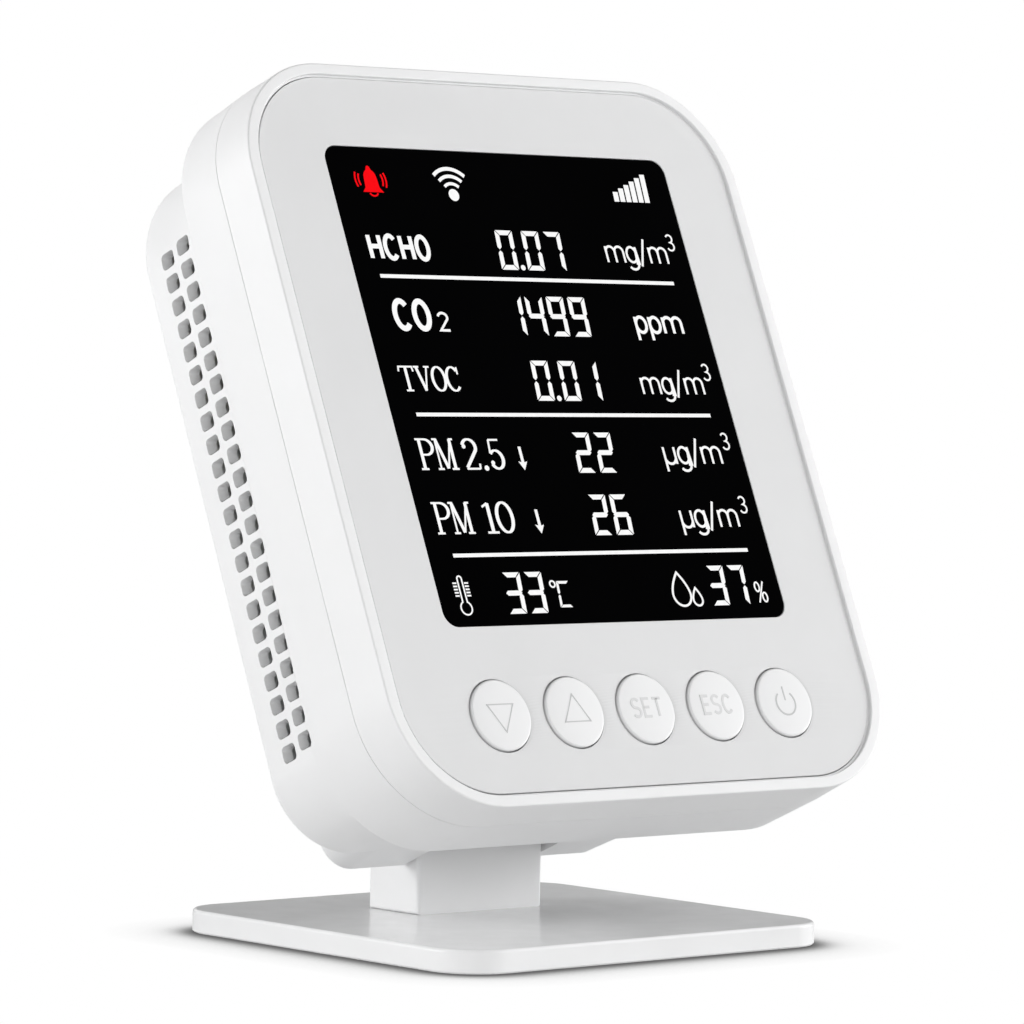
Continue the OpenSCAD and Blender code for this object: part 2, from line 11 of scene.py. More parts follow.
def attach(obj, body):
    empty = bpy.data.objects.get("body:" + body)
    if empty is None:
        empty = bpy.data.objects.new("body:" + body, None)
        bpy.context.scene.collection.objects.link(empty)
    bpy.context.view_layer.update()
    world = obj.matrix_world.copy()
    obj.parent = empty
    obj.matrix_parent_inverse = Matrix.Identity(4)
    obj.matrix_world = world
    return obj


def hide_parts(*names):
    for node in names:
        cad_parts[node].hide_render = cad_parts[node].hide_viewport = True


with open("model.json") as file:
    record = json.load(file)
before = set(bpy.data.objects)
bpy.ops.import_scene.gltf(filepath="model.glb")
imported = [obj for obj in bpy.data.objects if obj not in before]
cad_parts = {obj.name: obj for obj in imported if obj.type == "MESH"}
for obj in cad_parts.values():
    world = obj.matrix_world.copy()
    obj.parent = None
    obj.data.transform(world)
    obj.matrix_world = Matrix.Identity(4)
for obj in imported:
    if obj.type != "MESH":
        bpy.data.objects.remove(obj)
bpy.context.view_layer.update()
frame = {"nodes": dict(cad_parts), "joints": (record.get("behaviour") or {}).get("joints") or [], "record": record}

# ---- axes and sizes from the frame

MM = 0.001
JOINTS = {joint["name"]: joint for joint in frame["joints"]}
NODES = frame["nodes"]


def housing_axes():
    """Matrix to the world from the housing's own millimetres: across, depth and height up the face.

    Its origin is the centre of the front of the face plate.
    """
    across = Vector((1, 0, 0))
    depth = Vector(JOINTS["up_press"]["axis"]).normalized()
    height = across.cross(depth)
    axes = Matrix((across, depth, height)).transposed()
    points = [axes.transposed() @ v.co for v in NODES["face_plate"].data.vertices]
    middle = [(min(p[i] for p in points) + max(p[i] for p in points)) / 2 for i in range(3)]
    middle[1] = min(p[1] for p in points)
    return Matrix.Translation(axes @ Vector(middle)) @ axes.to_4x4() @ Matrix.Scale(MM, 4)


HOUSING = housing_axes()
STAND = Matrix.Scale(MM, 4)


def local_box(node, axes=HOUSING):
    """Lowest and highest corner of a CAD node along the given axes, in millimetres."""
    inverse = axes.inverted()
    points = [inverse @ v.co for v in NODES[node].data.vertices]
    return [Vector([end(p[i] for p in points) for i in range(3)]) for end in (min, max)]


FRONT_LOW, FRONT_HIGH = local_box("front_casing")
PLATE_LOW, PLATE_HIGH = local_box("face_plate")
WINDOW_LOW, WINDOW_HIGH = local_box("display_window")
REAR_LOW, REAR_HIGH = local_box("rear_casing")
HINGE_LOW, HINGE_HIGH = local_box("hinge_housing")
BASE_LOW, BASE_HIGH = local_box("base_plate", STAND)
PAD_LOW, PAD_HIGH = local_box("base_pad", STAND)
BALLAST_LOW, BALLAST_HIGH = local_box("ballast_plate", STAND)
STEM_LOW, STEM_HIGH = local_box("stem", STAND)
PIVOT = HOUSING.inverted() @ Vector(JOINTS["housing_tilt"]["pos_m"])

BODY_W = FRONT_HIGH.x - FRONT_LOW.x
BODY_TOP, BODY_LOW = FRONT_HIGH.z, -FRONT_LOW.z
RIM_FRONT, PLATE_T, BACK = FRONT_LOW.y, PLATE_HIGH.y, REAR_HIGH.y

# sizes in millimetres that a node's box doesn't give
CORNER_R = 18.2
FIT = 0.1
PLATE_GAP = 0.42
RIM_W = FRONT_HIGH.x - PLATE_HIGH.x - FIT
RIM_H = FRONT_HIGH.z - PLATE_HIGH.z - FIT
LEDGE_DEPTH = 0.22
CREST_DROP = 0.15
CREST_INSET = 0.35
CREST_OUT_R = 0.3
CREST_IN_R = 0.2
WALL = 2.0
SHELF_BACK = 3.4
PARTING = 7.5
PARTING_GAP = 0.05
PARTING_DEEP = 0.4
PARTING_EDGE = 0.04
SHOULDER = 17.8
SHOULDER_LEAN = -0.018
SHOULDER_LEVEL = -10.0
SHOULDER_R = 0.3
SHOULDER_FADE = (12.0, 36.0)
TONGUE_BACK = 9.8
TONGUE_T = 1.2
BULGE_INSET = 0.05
BULGE_NARROW = 0.35
BULGE_TOP = 54.1
BULGE_LOW = 56.4
BULGE_LOW_R = 11.7
BULGE_TUCK = 0.1
BACK_EDGE_R = 0.7
WINDOW_R = 2.5
CAP_GAP = 0.22
CAP_DOME = 0.14
FLANGE_W = 0.77
DISH_W = 0.5
DISH_DEPTH = 0.16
POCKET_R = 6.5
HINGE_R = 4.8
HINGE_HALF = 28.3
CHANNEL_HALF = 13.3
CHANNEL_FRONT = 34.5
CHANNEL_RISE = 7.5
CHANNEL_BEND = 1.5
CHANNEL_MOUTH = 39.3
HINGE_EDGE_R = 0.5
CHEEK = 2.2
PIN_BOSS_OUT = 19.0
PIN_BOSS_R = 4.5
PIN_BORE_R = 2.05
SCREW_HOLE_R = 1.3
SCREW_HEAD_R = 2.6
COLUMN_R = 3.2
COLUMN_BACK = 25
BOSS_BORE_R = 1.15
SCREW_SPOTS = ((-40, 44), (40, 44), (-40, -50.5), (40, -50.5))
HINGE_SPOTS = ((-21, -21), (21, -21), (-21, -47), (21, -47))
BOARD_SPOTS = ((-40, 36), (40, 36), (-40, -39), (40, -39))
BASE_R = 8.0
PORT_DEPTH = 12.85
PORT_HEIGHT = -22.0
PORT_HALF = (1.85, 4.75)
PORT_R = 1.6
VENT = {"rows": 22, "pitch": 3.774, "length": 3.1, "height": 2.6, "radius": 0.7,
        "top": 37.75, "depth": 19.6, "gap": 4.2, "stagger": 0.6}

BUTTON_ROW = ("down", "up", "set", "escape", "power")
CORNER_STEPS = 20

# ---- outlines, in millimetres


def arc(cx, cy, rx, ry, start, end, steps=12):
    """Points along an ellipse between two angles in degrees."""
    turns = [math.radians(start + (end - start) * i / steps) for i in range(steps + 1)]
    return [(cx + rx * math.cos(t), cy + ry * math.sin(t)) for t in turns]


def round_outline(left, right, top, low, top_r, low_r=None, steps=CORNER_STEPS):
    """Anticlockwise rounded rectangle, with another corner radius at the bottom if given."""
    low_r = top_r if low_r is None else low_r
    return (
        arc(right - top_r, top - top_r, top_r, top_r, 0, 90, steps)
        + arc(left + top_r, top - top_r, top_r, top_r, 90, 180, steps)
        + arc(left + low_r, low + low_r, low_r, low_r, 180, 270, steps)
        + arc(right - low_r, low + low_r, low_r, low_r, 270, 360, steps)
    )


def body_outline(inset, lift=None):
    """The housing's outline, moved in by inset at the sides and by lift, if given, at the ends."""
    lift = inset if lift is None else lift
    half, radius = BODY_W / 2 - inset, CORNER_R - inset
    return round_outline(-half, half, BODY_TOP - lift, lift - BODY_LOW, radius)


def rim_outline(inset):
    """The rim's outline, which moves in a little less at the ends."""
    return body_outline(inset, inset * (1 - (1 - RIM_H / RIM_W) * inset / RIM_W))


def bulge_outline(inset):
    """The rear bulge's outline, moved in by inset; it narrows a little towards its top."""
    half = BODY_W / 2 - BULGE_INSET - inset
    outline = round_outline(-half, half, BULGE_TOP - inset, inset - BULGE_LOW,
                            CORNER_R - inset, BULGE_LOW_R - inset)
    height = BULGE_TOP + BULGE_LOW
    return [(x * (1 - BULGE_NARROW * (z + BULGE_LOW) / height / half), z) for x, z in outline]


def tucked(outline, margin):
    """An outline with every point kept inside the housing's full outline by a margin."""
    reach_x, reach_z = BODY_W / 2 - CORNER_R, BODY_TOP - CORNER_R
    kept = []
    for x, z in outline:
        middle = Vector((min(max(x, -reach_x), reach_x), min(max(z, -reach_z), reach_z)))
        reach = Vector((x, z)) - middle
        reach *= min(1, (CORNER_R - margin) / max(reach.length, 0.001))
        kept.append(tuple(middle + reach))
    return kept


def faded(low, high):
    """Outline that follows low in its lower part and high in its upper part."""
    start, end = SHOULDER_FADE
    shares = [min(max((z - start) / (end - start), 0), 1) for _, z in low]
    return [tuple(Vector(a).lerp(Vector(b), share)) for a, b, share in zip(low, high, shares)]


def leaning_ring(outline, depth):
    """Like face_ring, on the slightly leaning plane of the shoulder."""
    return [(x, depth + SHOULDER_LEAN * (z - SHOULDER_LEVEL), z) for x, z in outline]


def node_outline(low, high, inset, radius):
    """Rounded outline of a node of the stand seen from above, moved in by inset."""
    return round_outline(low.x + inset, high.x - inset, high.y - inset, low.y + inset, radius - inset)


def circle(cx, cy, r, steps=48):
    """Closed circle without its repeated last point."""
    return arc(cx, cy, r, r, 0, 360, steps)[:-1]


def box_outline(left, right, low, top):
    """Plain rectangle."""
    return [(right, top), (left, top), (left, low), (right, low)]


def quarter(cx, cy, r, start, end, steps=6):
    """Profile points of a fillet, as (inset, depth)."""
    return arc(cx, cy, r, r, start, end, steps)


# ---- mesh builders


def new_object(name, mesh):
    thing = bpy.data.objects.new(name, mesh)
    bpy.context.scene.collection.objects.link(thing)
    return thing


def mend(mesh, weld=False):
    """Turns a mesh's faces outwards, after welding its close points if asked."""
    shape = bmesh.new()
    shape.from_mesh(mesh)
    if weld:
        bmesh.ops.remove_doubles(shape, verts=shape.verts, dist=0.001)
        bmesh.ops.dissolve_degenerate(shape, edges=shape.edges, dist=0.0005)
    bmesh.ops.recalc_face_normals(shape, faces=shape.faces)
    shape.to_mesh(mesh)
    shape.free()


def evaluated(thing):
    """A copy of an object's mesh with its curve settings or modifiers applied."""
    graph = bpy.context.evaluated_depsgraph_get()
    return bpy.data.meshes.new_from_object(thing.evaluated_get(graph))


def mesh_object(name, verts, faces):
    """Mesh from points in local millimetres, with its faces turned outwards."""
    mesh = bpy.data.meshes.new(name)
    mesh.from_pydata([tuple(v) for v in verts], [], faces)
    mend(mesh)
    return new_object(name, mesh)


def loft(name, rings, ring_closed=False):
    """Skin over rings of equal length. The first and last ring are capped, or joined if closed."""
    count = len(rings[0])
    verts = [point for ring in rings for point in ring]
    spans = len(rings) if ring_closed else len(rings) - 1
    faces = []
    for i in range(spans):
        a, b = i * count, (i + 1) % len(rings) * count
        for j in range(count):
            k = (j + 1) % count
            faces.append((a + j, a + k, b + k, b + j))
    if not ring_closed:
        faces.append(tuple(range(count)))
        faces.append(tuple((len(rings) - 1) * count + j for j in range(count)))
    return mesh_object(name, verts, faces)


def face_ring(outline, depth):
    """An outline drawn on the face, placed at a depth."""
    return [(x, depth, z) for x, z in outline]


def floor_ring(outline, height):
    """An outline drawn on the table, placed at a height."""
    return [(x, y, height) for x, y in outline]


def turned(name, profile, place, steps=72, ring_closed=False):
    """Solid of revolution about the depth axis at place; the profile holds (radius, depth) points."""
    px, pz = place
    rings = [[(px + x, depth, pz + z) for x, z in circle(0, 0, max(r, 0.02), steps)]
             for r, depth in profile]
    return loft(name, rings, ring_closed)


def plate(name, outline, holes, front, back, edge, upright=True):
    """Flat plate with holes and rounded edges, through the depth if upright, else across."""
    curve = bpy.data.curves.new(name, "CURVE")
    curve.dimensions = "2D"
    curve.fill_mode = "BOTH"
    for points in [outline] + list(holes):
        spline = curve.splines.new("POLY")
        spline.points.add(len(points) - 1)
        for knot, (x, y) in zip(spline.points, points):
            knot.co = (x, y, 0, 1)
        spline.use_cyclic_u = True
    curve.extrude = (back - front) / 2 - edge
    curve.bevel_depth = edge
    curve.bevel_resolution = 3
    curve.offset = -edge
    source = new_object(name + "_curve", curve)
    mesh = evaluated(source)
    bpy.data.objects.remove(source)
    middle = (front + back) / 2
    if upright:
        place, turn = (0, middle, 0), Matrix.Rotation(math.radians(90), 4, "X")
    else:
        place = (middle, 0, 0)
        turn = Matrix(((0, 0, 1, 0), (1, 0, 0, 0), (0, 1, 0, 0), (0, 0, 0, 1)))
    mesh.transform(Matrix.Translation(place) @ turn)
    mend(mesh, weld=True)
    return new_object(name, mesh)


def prism(outline, front, back):
    """Straight block between two depths."""
    return loft("prism", [face_ring(outline, front), face_ring(outline, back)])


def cross_prism(outline, left, right):
    """Straight block between two places across; the outline holds (depth, height) points."""
    return loft("prism", [[(x, d, z) for d, z in outline] for x in (left, right)])


def carve(target, cutter):
    """Cuts one closed mesh from another and drops the cutter."""
    modifier = target.modifiers.new("carve", "BOOLEAN")
    modifier.operation = "DIFFERENCE"
    modifier.solver = "EXACT"
    modifier.object = cutter
    mesh = evaluated(target)
    target.modifiers.clear()
    target.data = mesh
    bpy.data.objects.remove(cutter)
    return target


def join(target, *others):
    """Adds the meshes of other objects to target."""
    shape = bmesh.new()
    shape.from_mesh(target.data)
    for other in others:
        shape.from_mesh(other.data)
        bpy.data.objects.remove(other)
    shape.to_mesh(target.data)
    shape.free()
    return target


SMOOTH_ANGLE = math.radians(35)


def settle(thing, axes, body, slot, *nodes, finish=None):
    """Places a piece built in local millimetres, shades it and hands it to its CAD body.

    Its finish is the slot's own unless another is named. It stands for the given CAD nodes.
    """
    thing.data.transform(axes)
    thing.data.materials.clear()
    thing.data.materials.append(FINISH[finish or slot])
    for face in thing.data.polygons:
        face.material_index = 0
        face.use_smooth = True
    thing.data.set_sharp_from_angle(angle=SMOOTH_ANGLE)
    weighted = thing.modifiers.new("weighted", "WEIGHTED_NORMAL")
    weighted.keep_sharp = True
    weighted.weight = 100
    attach(thing, body)
    if nodes:
        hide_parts(*nodes)
    return thing


# ---- materials


class Shader:
    """Small helper that wires procedural nodes into one principled material."""

    def __init__(self, name, **settings):
        self.material = bpy.data.materials.new(name)
        self.material.use_nodes = True
        self.tree = self.material.node_tree
        self.surface = self.tree.nodes["Principled BSDF"]
        self.place = self.tree.nodes.new("ShaderNodeTexCoord").outputs["Object"]
        for key, value in settings.items():
            self.surface.inputs[key.replace("_", " ")].default_value = value

    def node(self, kind, **inputs):
        made = self.tree.nodes.new(kind)
        for key, value in inputs.items():
            made.inputs[key.replace("_", " ")].default_value = value
        return made

    def link(self, source, target):
        self.tree.links.new(source, target)

    def noise(self, size_mm, detail=3.0):
        """Noise whose features are about size_mm across."""
        made = self.node("ShaderNodeTexNoise", Scale=1 / (size_mm * MM), Detail=detail)
        self.link(self.place, made.inputs["Vector"])
        return made.outputs["Fac"]

    def ramp(self, source, low, high, start=0.3, end=0.7):
        """Maps a factor between start and end to the range from low to high."""
        made = self.node("ShaderNodeMapRange", From_Min=start, From_Max=end, To_Min=low, To_Max=high)
        self.link(source, made.inputs["Value"])
        return made.outputs["Result"]

    def blend(self, factor, first, second):
        """Mixes two colours."""
        made = self.node("ShaderNodeMix")
        made.data_type = "RGBA"
        self.link(factor, made.inputs[0])
        for socket, colour in ((made.inputs[6], first), (made.inputs[7], second)):
            if isinstance(colour, tuple):
                socket.default_value = (*colour, 1)
            else:
                self.link(colour, socket)
        return made.outputs[2]

    def bump(self, source, height_mm, strength=1.0):
        made = self.node("ShaderNodeBump", Strength=strength, Distance=height_mm * MM)
        self.link(source, made.inputs["Height"])
        self.link(made.outputs["Normal"], self.surface.inputs["Normal"])

    def drive(self, name, source):
        self.link(source, self.surface.inputs[name])


def plastic(name, colour, rough, grain_mm=0.35, grain_height=0.004, painted_shade=0.93, shine=0.45):
    """Moulded plastic: faint cloudiness, fine grain and painted shade that darkens its crevices."""
    s = Shader(name, Specular_IOR_Level=shine)
    deep = tuple(c * 0.972 for c in colour)
    cloudy = s.blend(s.ramp(s.noise(18, 4), 0, 1), colour, deep)
    # Painted shade: where ambient occlusion finds a crevice or a nearby part, the colour is darkened.
    hollow = s.node("ShaderNodeAmbientOcclusion", Distance=1.2 * MM)
    hollow.samples = 6
    shade = tuple(c * painted_shade for c in colour)
    shaded_in_hollows = s.blend(s.ramp(hollow.outputs["AO"], 1, 0), cloudy, shade)
    s.drive("Base Color", shaded_in_hollows)
    s.drive("Roughness", s.ramp(s.noise(6, 3), rough * 0.93, rough * 1.08))
    s.bump(s.noise(grain_mm, 2), grain_height, 0.6)
    return s.material


def metal(name, colour, rough, stretch=(1, 1, 14)):
    """Metal with fine directional brushing."""
    s = Shader(name, Metallic=1.0)
    mapping = s.node("ShaderNodeMapping", Scale=stretch)
    s.link(s.place, mapping.inputs["Vector"])
    brush = s.node("ShaderNodeTexNoise", Scale=900, Detail=4)
    s.link(mapping.outputs["Vector"], brush.inputs["Vector"])
    worn = tuple(c * 0.8 for c in colour)
    s.drive("Base Color", s.blend(s.ramp(brush.outputs["Fac"], 0, 1), colour, worn))
    s.drive("Roughness", s.ramp(s.noise(2), rough - 0.06, rough + 0.1))
    s.bump(brush.outputs["Fac"], 0.01, 0.4)
    return s.material


def display_black(name):
    """Dark tinted pane with the faintest smudging."""
    s = Shader(name, Specular_IOR_Level=0.002)
    clear, smudged = (0.0002, 0.0002, 0.0003), (0.0005, 0.0005, 0.0007)
    s.drive("Base Color", s.blend(s.ramp(s.noise(25, 4), 0, 1), clear, smudged))
    s.drive("Roughness", s.ramp(s.noise(9, 4), 0.16, 0.26))
    s.bump(s.noise(30), 0.004, 0.3)
    return s.material


def lit(name, colour, strength):
    """Lit graphic of the display, very slightly uneven."""
    s = Shader(name, Base_Color=(0.001, 0.001, 0.001, 1), Emission_Strength=strength,
               Roughness=0.5, Specular_IOR_Level=0.0)
    dimmer = tuple(c * 0.93 for c in colour)
    tone = s.blend(s.ramp(s.noise(0.8, 2), 0, 1), colour, dimmer)
    s.drive("Emission Color", tone)
    return s.material


def circuit(name):
    """Solder mask with a faint weave and copper tracks below it."""
    s = Shader(name, Roughness=0.35)
    tracks = s.node("ShaderNodeTexVoronoi", Scale=420)
    tracks.feature = "DISTANCE_TO_EDGE"
    s.link(s.place, tracks.inputs["Vector"])
    edge = s.ramp(tracks.outputs["Distance"], 0, 1, 0, 0.08)
    s.drive("Base Color", s.blend(edge, (0.05, 0.30, 0.13), (0.015, 0.15, 0.07)))
    s.bump(edge, 0.03, 0.4)
    return s.material


def rubber(name, colour):
    """Dense foam rubber with open grain."""
    s = Shader(name, Roughness=0.85, Specular_IOR_Level=0.2)
    pores = tuple(c * 0.6 for c in colour)
    s.drive("Base Color", s.blend(s.ramp(s.noise(0.5, 4), 0, 1), colour, pores))
    s.bump(s.noise(0.4, 4), 0.05, 0.8)
    return s.material


def membrane(name, colour):
    """Woven porous membrane."""
    s = Shader(name, Roughness=0.8)
    weave = s.node("ShaderNodeTexVoronoi", Scale=2600)
    s.link(s.place, weave.inputs["Vector"])
    gaps = tuple(c * 0.8 for c in colour)
    s.drive("Base Color", s.blend(weave.outputs["Distance"], colour, gaps))
    s.bump(weave.outputs["Distance"], 0.06, 0.7)
    return s.material


# Each finish: the kind of material and its settings.
RECIPES = {
    "casing_white": (plastic, (0.86, 0.862, 0.866), 0.42),
    "plate_white": (plastic, (0.76, 0.762, 0.766), 0.55, 0.25, 0.003, 0.9, 0.3),
    "button_white": (plastic, (0.84, 0.842, 0.846), 0.38, 0.5, 0.002, 0.85),
    # Grey tones of the button signs: painted shade that stands for the shading along their raised strokes.
    "mark_grey": (plastic, (0.56, 0.562, 0.566), 0.5),
    "mark_soft": (plastic, (0.7, 0.702, 0.706), 0.5),
    "stand_white": (plastic, (0.9, 0.902, 0.906), 0.36),
    "base_white": (plastic, (0.89, 0.892, 0.896), 0.25, 0.8, 0.0015),
    "pad_black": (rubber, (0.03, 0.03, 0.032)),
    "window_tint": (display_black,),
    "lcd_black": (plastic, (0.01, 0.01, 0.012), 0.25),
    "lcd_light": (lit, (1.0, 1.0, 1.0), 1.0),
    "lcd_red": (lit, (1.0, 0.004, 0.008), 1.0),
    "light_guide": (plastic, (0.8, 0.84, 0.88), 0.3),
    "tray_black": (plastic, (0.02, 0.02, 0.022), 0.5),
    "ribbon_amber": (plastic, (0.5, 0.24, 0.04), 0.3),
    "board_green": (circuit,),
    "chip_black": (plastic, (0.025, 0.025, 0.028), 0.55),
    "screw_steel": (metal, (0.62, 0.63, 0.65), 0.3),
    "plate_steel": (metal, (0.5, 0.51, 0.53), 0.45, (12, 1, 1)),
    "cell_gold": (metal, (0.83, 0.62, 0.26), 0.3, (10, 1, 1)),
    "shield_tin": (metal, (0.72, 0.73, 0.74), 0.35, (10, 1, 1)),
    "filter_white": (membrane, (0.85, 0.85, 0.82)),
    "washer_nylon": (plastic, (0.72, 0.69, 0.6), 0.5),
    "connector_ivory": (plastic, (0.78, 0.76, 0.68), 0.45),
    "cell_foil": (metal, (0.62, 0.64, 0.68), 0.4, (1, 1, 1)),
    "lead_red": (plastic, (0.45, 0.02, 0.015), 0.4),
}
FINISH = {name: kind(name, *settings) for name, (kind, *settings) in RECIPES.items()}


def finish_cad_nodes():
    """Gives every CAD node that stays in view its procedural finish."""
    for row in frame["record"]["subparts"]:
        thing = NODES[row["node"]]
        material = FINISH[row["material_slot"]]
        if not thing.material_slots:
            thing.data.materials.append(material)
        for slot in thing.material_slots:
            slot.material = material


# ---- stand


def build_stand():
    low, top = BASE_LOW.z, BASE_HIGH.z
    edge, foot = 0.55, 0.25

    def base_outline(inset):
        return node_outline(BASE_LOW, BASE_HIGH, inset, BASE_R)

    pad_fit = BASE_HIGH.x - PAD_HIGH.x - 0.2
    ballast_hole = node_outline(BALLAST_LOW, BALLAST_HIGH, -0.2, 2.8)
    levels = [(ballast_hole, BALLAST_HIGH.z + 0.05), (ballast_hole, PAD_HIGH.z),
              (base_outline(pad_fit), PAD_HIGH.z), (base_outline(pad_fit), low),
              (base_outline(foot), low), (base_outline(0), low + foot)]
    levels += [(base_outline(inset), z) for inset, z in quarter(edge, top - edge, edge, 180, 90)]
    base = loft("base_plate_shell", [floor_ring(*level) for level in levels])
    settle(base, STAND, "stand", "stand_white", "base_plate", finish="base_white")

    levels = ((0.15, PAD_LOW.z), (0, PAD_LOW.z + 0.15), (0, PAD_HIGH.z))
    pad = loft("base_pad_sheet", [floor_ring(node_outline(PAD_LOW, PAD_HIGH, inset, BASE_R - 2.5), z)
                                  for inset, z in levels])
    settle(pad, STAND, "stand", "pad_black", "base_pad")

    middle = (STEM_LOW.y + STEM_HIGH.y) / 2
    radius = (STEM_HIGH.y - STEM_LOW.y) / 2
    axis_height = STEM_HIGH.z - radius
    side = arc(middle, axis_height, radius, radius, 0, 180, 32)
    side += [(STEM_LOW.y, STEM_LOW.z), (STEM_HIGH.y, STEM_LOW.z)]
    stem = plate("stem_block", side, [circle(middle, axis_height, PIN_BORE_R)],
                 STEM_LOW.x, STEM_HIGH.x, 0.7, upright=False)
    settle(stem, STAND, "stand", "stand_white", "stem")


# ---- front of the housing


def button_places():
    """Name and place on the face of each button, from its CAD node."""
    boxes = [(name, *local_box("button_" + name)) for name in BUTTON_ROW]
    return [(name, (low.x + high.x) / 2, (low.z + high.z) / 2) for name, low, high in boxes]


def cap_radius():
    low, high = local_box("button_up")
    return (high.x - low.x) / 2 - FLANGE_W


def build_front_casing():
    """Rim and side wall as one swept section, then the shelf and the screw bosses."""
    inner, outer, crest = RIM_W - CREST_IN_R, CREST_INSET + CREST_OUT_R, RIM_FRONT + CREST_DROP
    groove = PARTING - PARTING_GAP
    ledge = RIM_W + PLATE_GAP - 0.02
    section = [(ledge, PLATE_T), (ledge, LEDGE_DEPTH), (RIM_W, LEDGE_DEPTH)]
    section += quarter(inner, crest + CREST_IN_R, CREST_IN_R, 0, -90, 4)
    section += quarter(outer, crest + CREST_OUT_R, CREST_OUT_R, 270, 180, 6)
    section += [(0, groove - PARTING_EDGE), (PARTING_EDGE, groove), (PARTING_DEEP, groove),
                (PARTING_DEEP, PARTING), (WALL, PARTING),
                (WALL, SHELF_BACK), (RIM_W + 1, SHELF_BACK), (RIM_W + 1, PLATE_T)]
    casing = loft("front_casing_shell", [face_ring(rim_outline(i), d) for i, d in section], True)

    opening = box_outline(WINDOW_LOW.x - FIT, WINDOW_HIGH.x + FIT, WINDOW_LOW.z - FIT,
                          WINDOW_HIGH.z + FIT)
    pockets = [circle(x, z, POCKET_R) for _, x, z in button_places()]
    shelf = plate("shelf", rim_outline(RIM_W + 0.9), [opening] + pockets, PLATE_T, SHELF_BACK, 0.1)
    start = SHELF_BACK - 0.05
    bosses = [tube(x, z, start, 9.6, 2.5, BOSS_BORE_R) for x, z in BOARD_SPOTS]
    bosses += [tube(x, z, start, 9.4, 2.4, BOSS_BORE_R) for x, z in SCREW_SPOTS]
    join(casing, shelf, *bosses)
    settle(casing, HOUSING, "housing", "casing_white", "front_casing")


def tube(x, z, front, back, outer_r, bore_r):
    """Round boss with a bore."""
    edge = 0.15
    profile = [(bore_r, front), (outer_r, front), (outer_r, back - edge), (outer_r - edge, back),
               (bore_r + edge, back), (bore_r, back - edge)]
    return turned("tube", profile, (x, z), 32, True)


def build_face_plate():
    """Front panel with softened edges round the display and the buttons."""
    gap = PLATE_GAP - FIT
    outline = round_outline(PLATE_LOW.x + gap, PLATE_HIGH.x - gap, PLATE_HIGH.z - gap,
                            PLATE_LOW.z + gap, CORNER_R - RIM_W - gap)
    hole_r = cap_radius() + CAP_GAP
    holes = [circle(x, z, hole_r, 72) for _, x, z in button_places()]
    panel = plate("face_plate_panel", outline, [window_outline(FIT)] + holes,
                  PLATE_LOW.y, PLATE_HIGH.y, 0.1)
    inner, outer, slope = hole_r - 0.3, hole_r + DISH_W + 0.2, DISH_DEPTH / DISH_W
    dish = [(inner, -1), (outer, -1), (outer, -0.2 * slope), (inner, (DISH_W + 0.3) * slope)]
    for _, x, z in button_places():
        carve(panel, turned("dish", dish, (x, z), 90, True))
    settle(panel, HOUSING, "housing", "plate_white", "face_plate")


def window_outline(fit):
    return round_outline(WINDOW_LOW.x - fit, WINDOW_HIGH.x + fit, WINDOW_HIGH.z + fit,
                         WINDOW_LOW.z - fit, WINDOW_R, steps=8)


def build_window():
    pane = plate("display_pane", window_outline(0), [], WINDOW_LOW.y, WINDOW_HIGH.y, 0.08)
    settle(pane, HOUSING, "housing", "window_tint", "display_window")


# ---- rear of the housing


def vent_cutter():
    """All side holes as one mesh of separate blocks, reaching through the wall at both sides."""
    made = []
    half_l, half_h = VENT["length"] / 2, VENT["height"] / 2
    reach = (BODY_W / 2 - WALL - 2, BODY_W / 2 + 1)
    for column in range(2):
        depth = VENT["depth"] + column * VENT["gap"]
        for row in range(VENT["rows"]):
            height = VENT["top"] - row * VENT["pitch"] - column * VENT["stagger"]
            outline = round_outline(depth - half_l, depth + half_l, height + half_h, height - half_h,
                                    VENT["radius"], steps=5)
            made.append(cross_prism(outline, *reach))
            made.append(cross_prism(outline, -reach[1], -reach[0]))
    return join(*made)


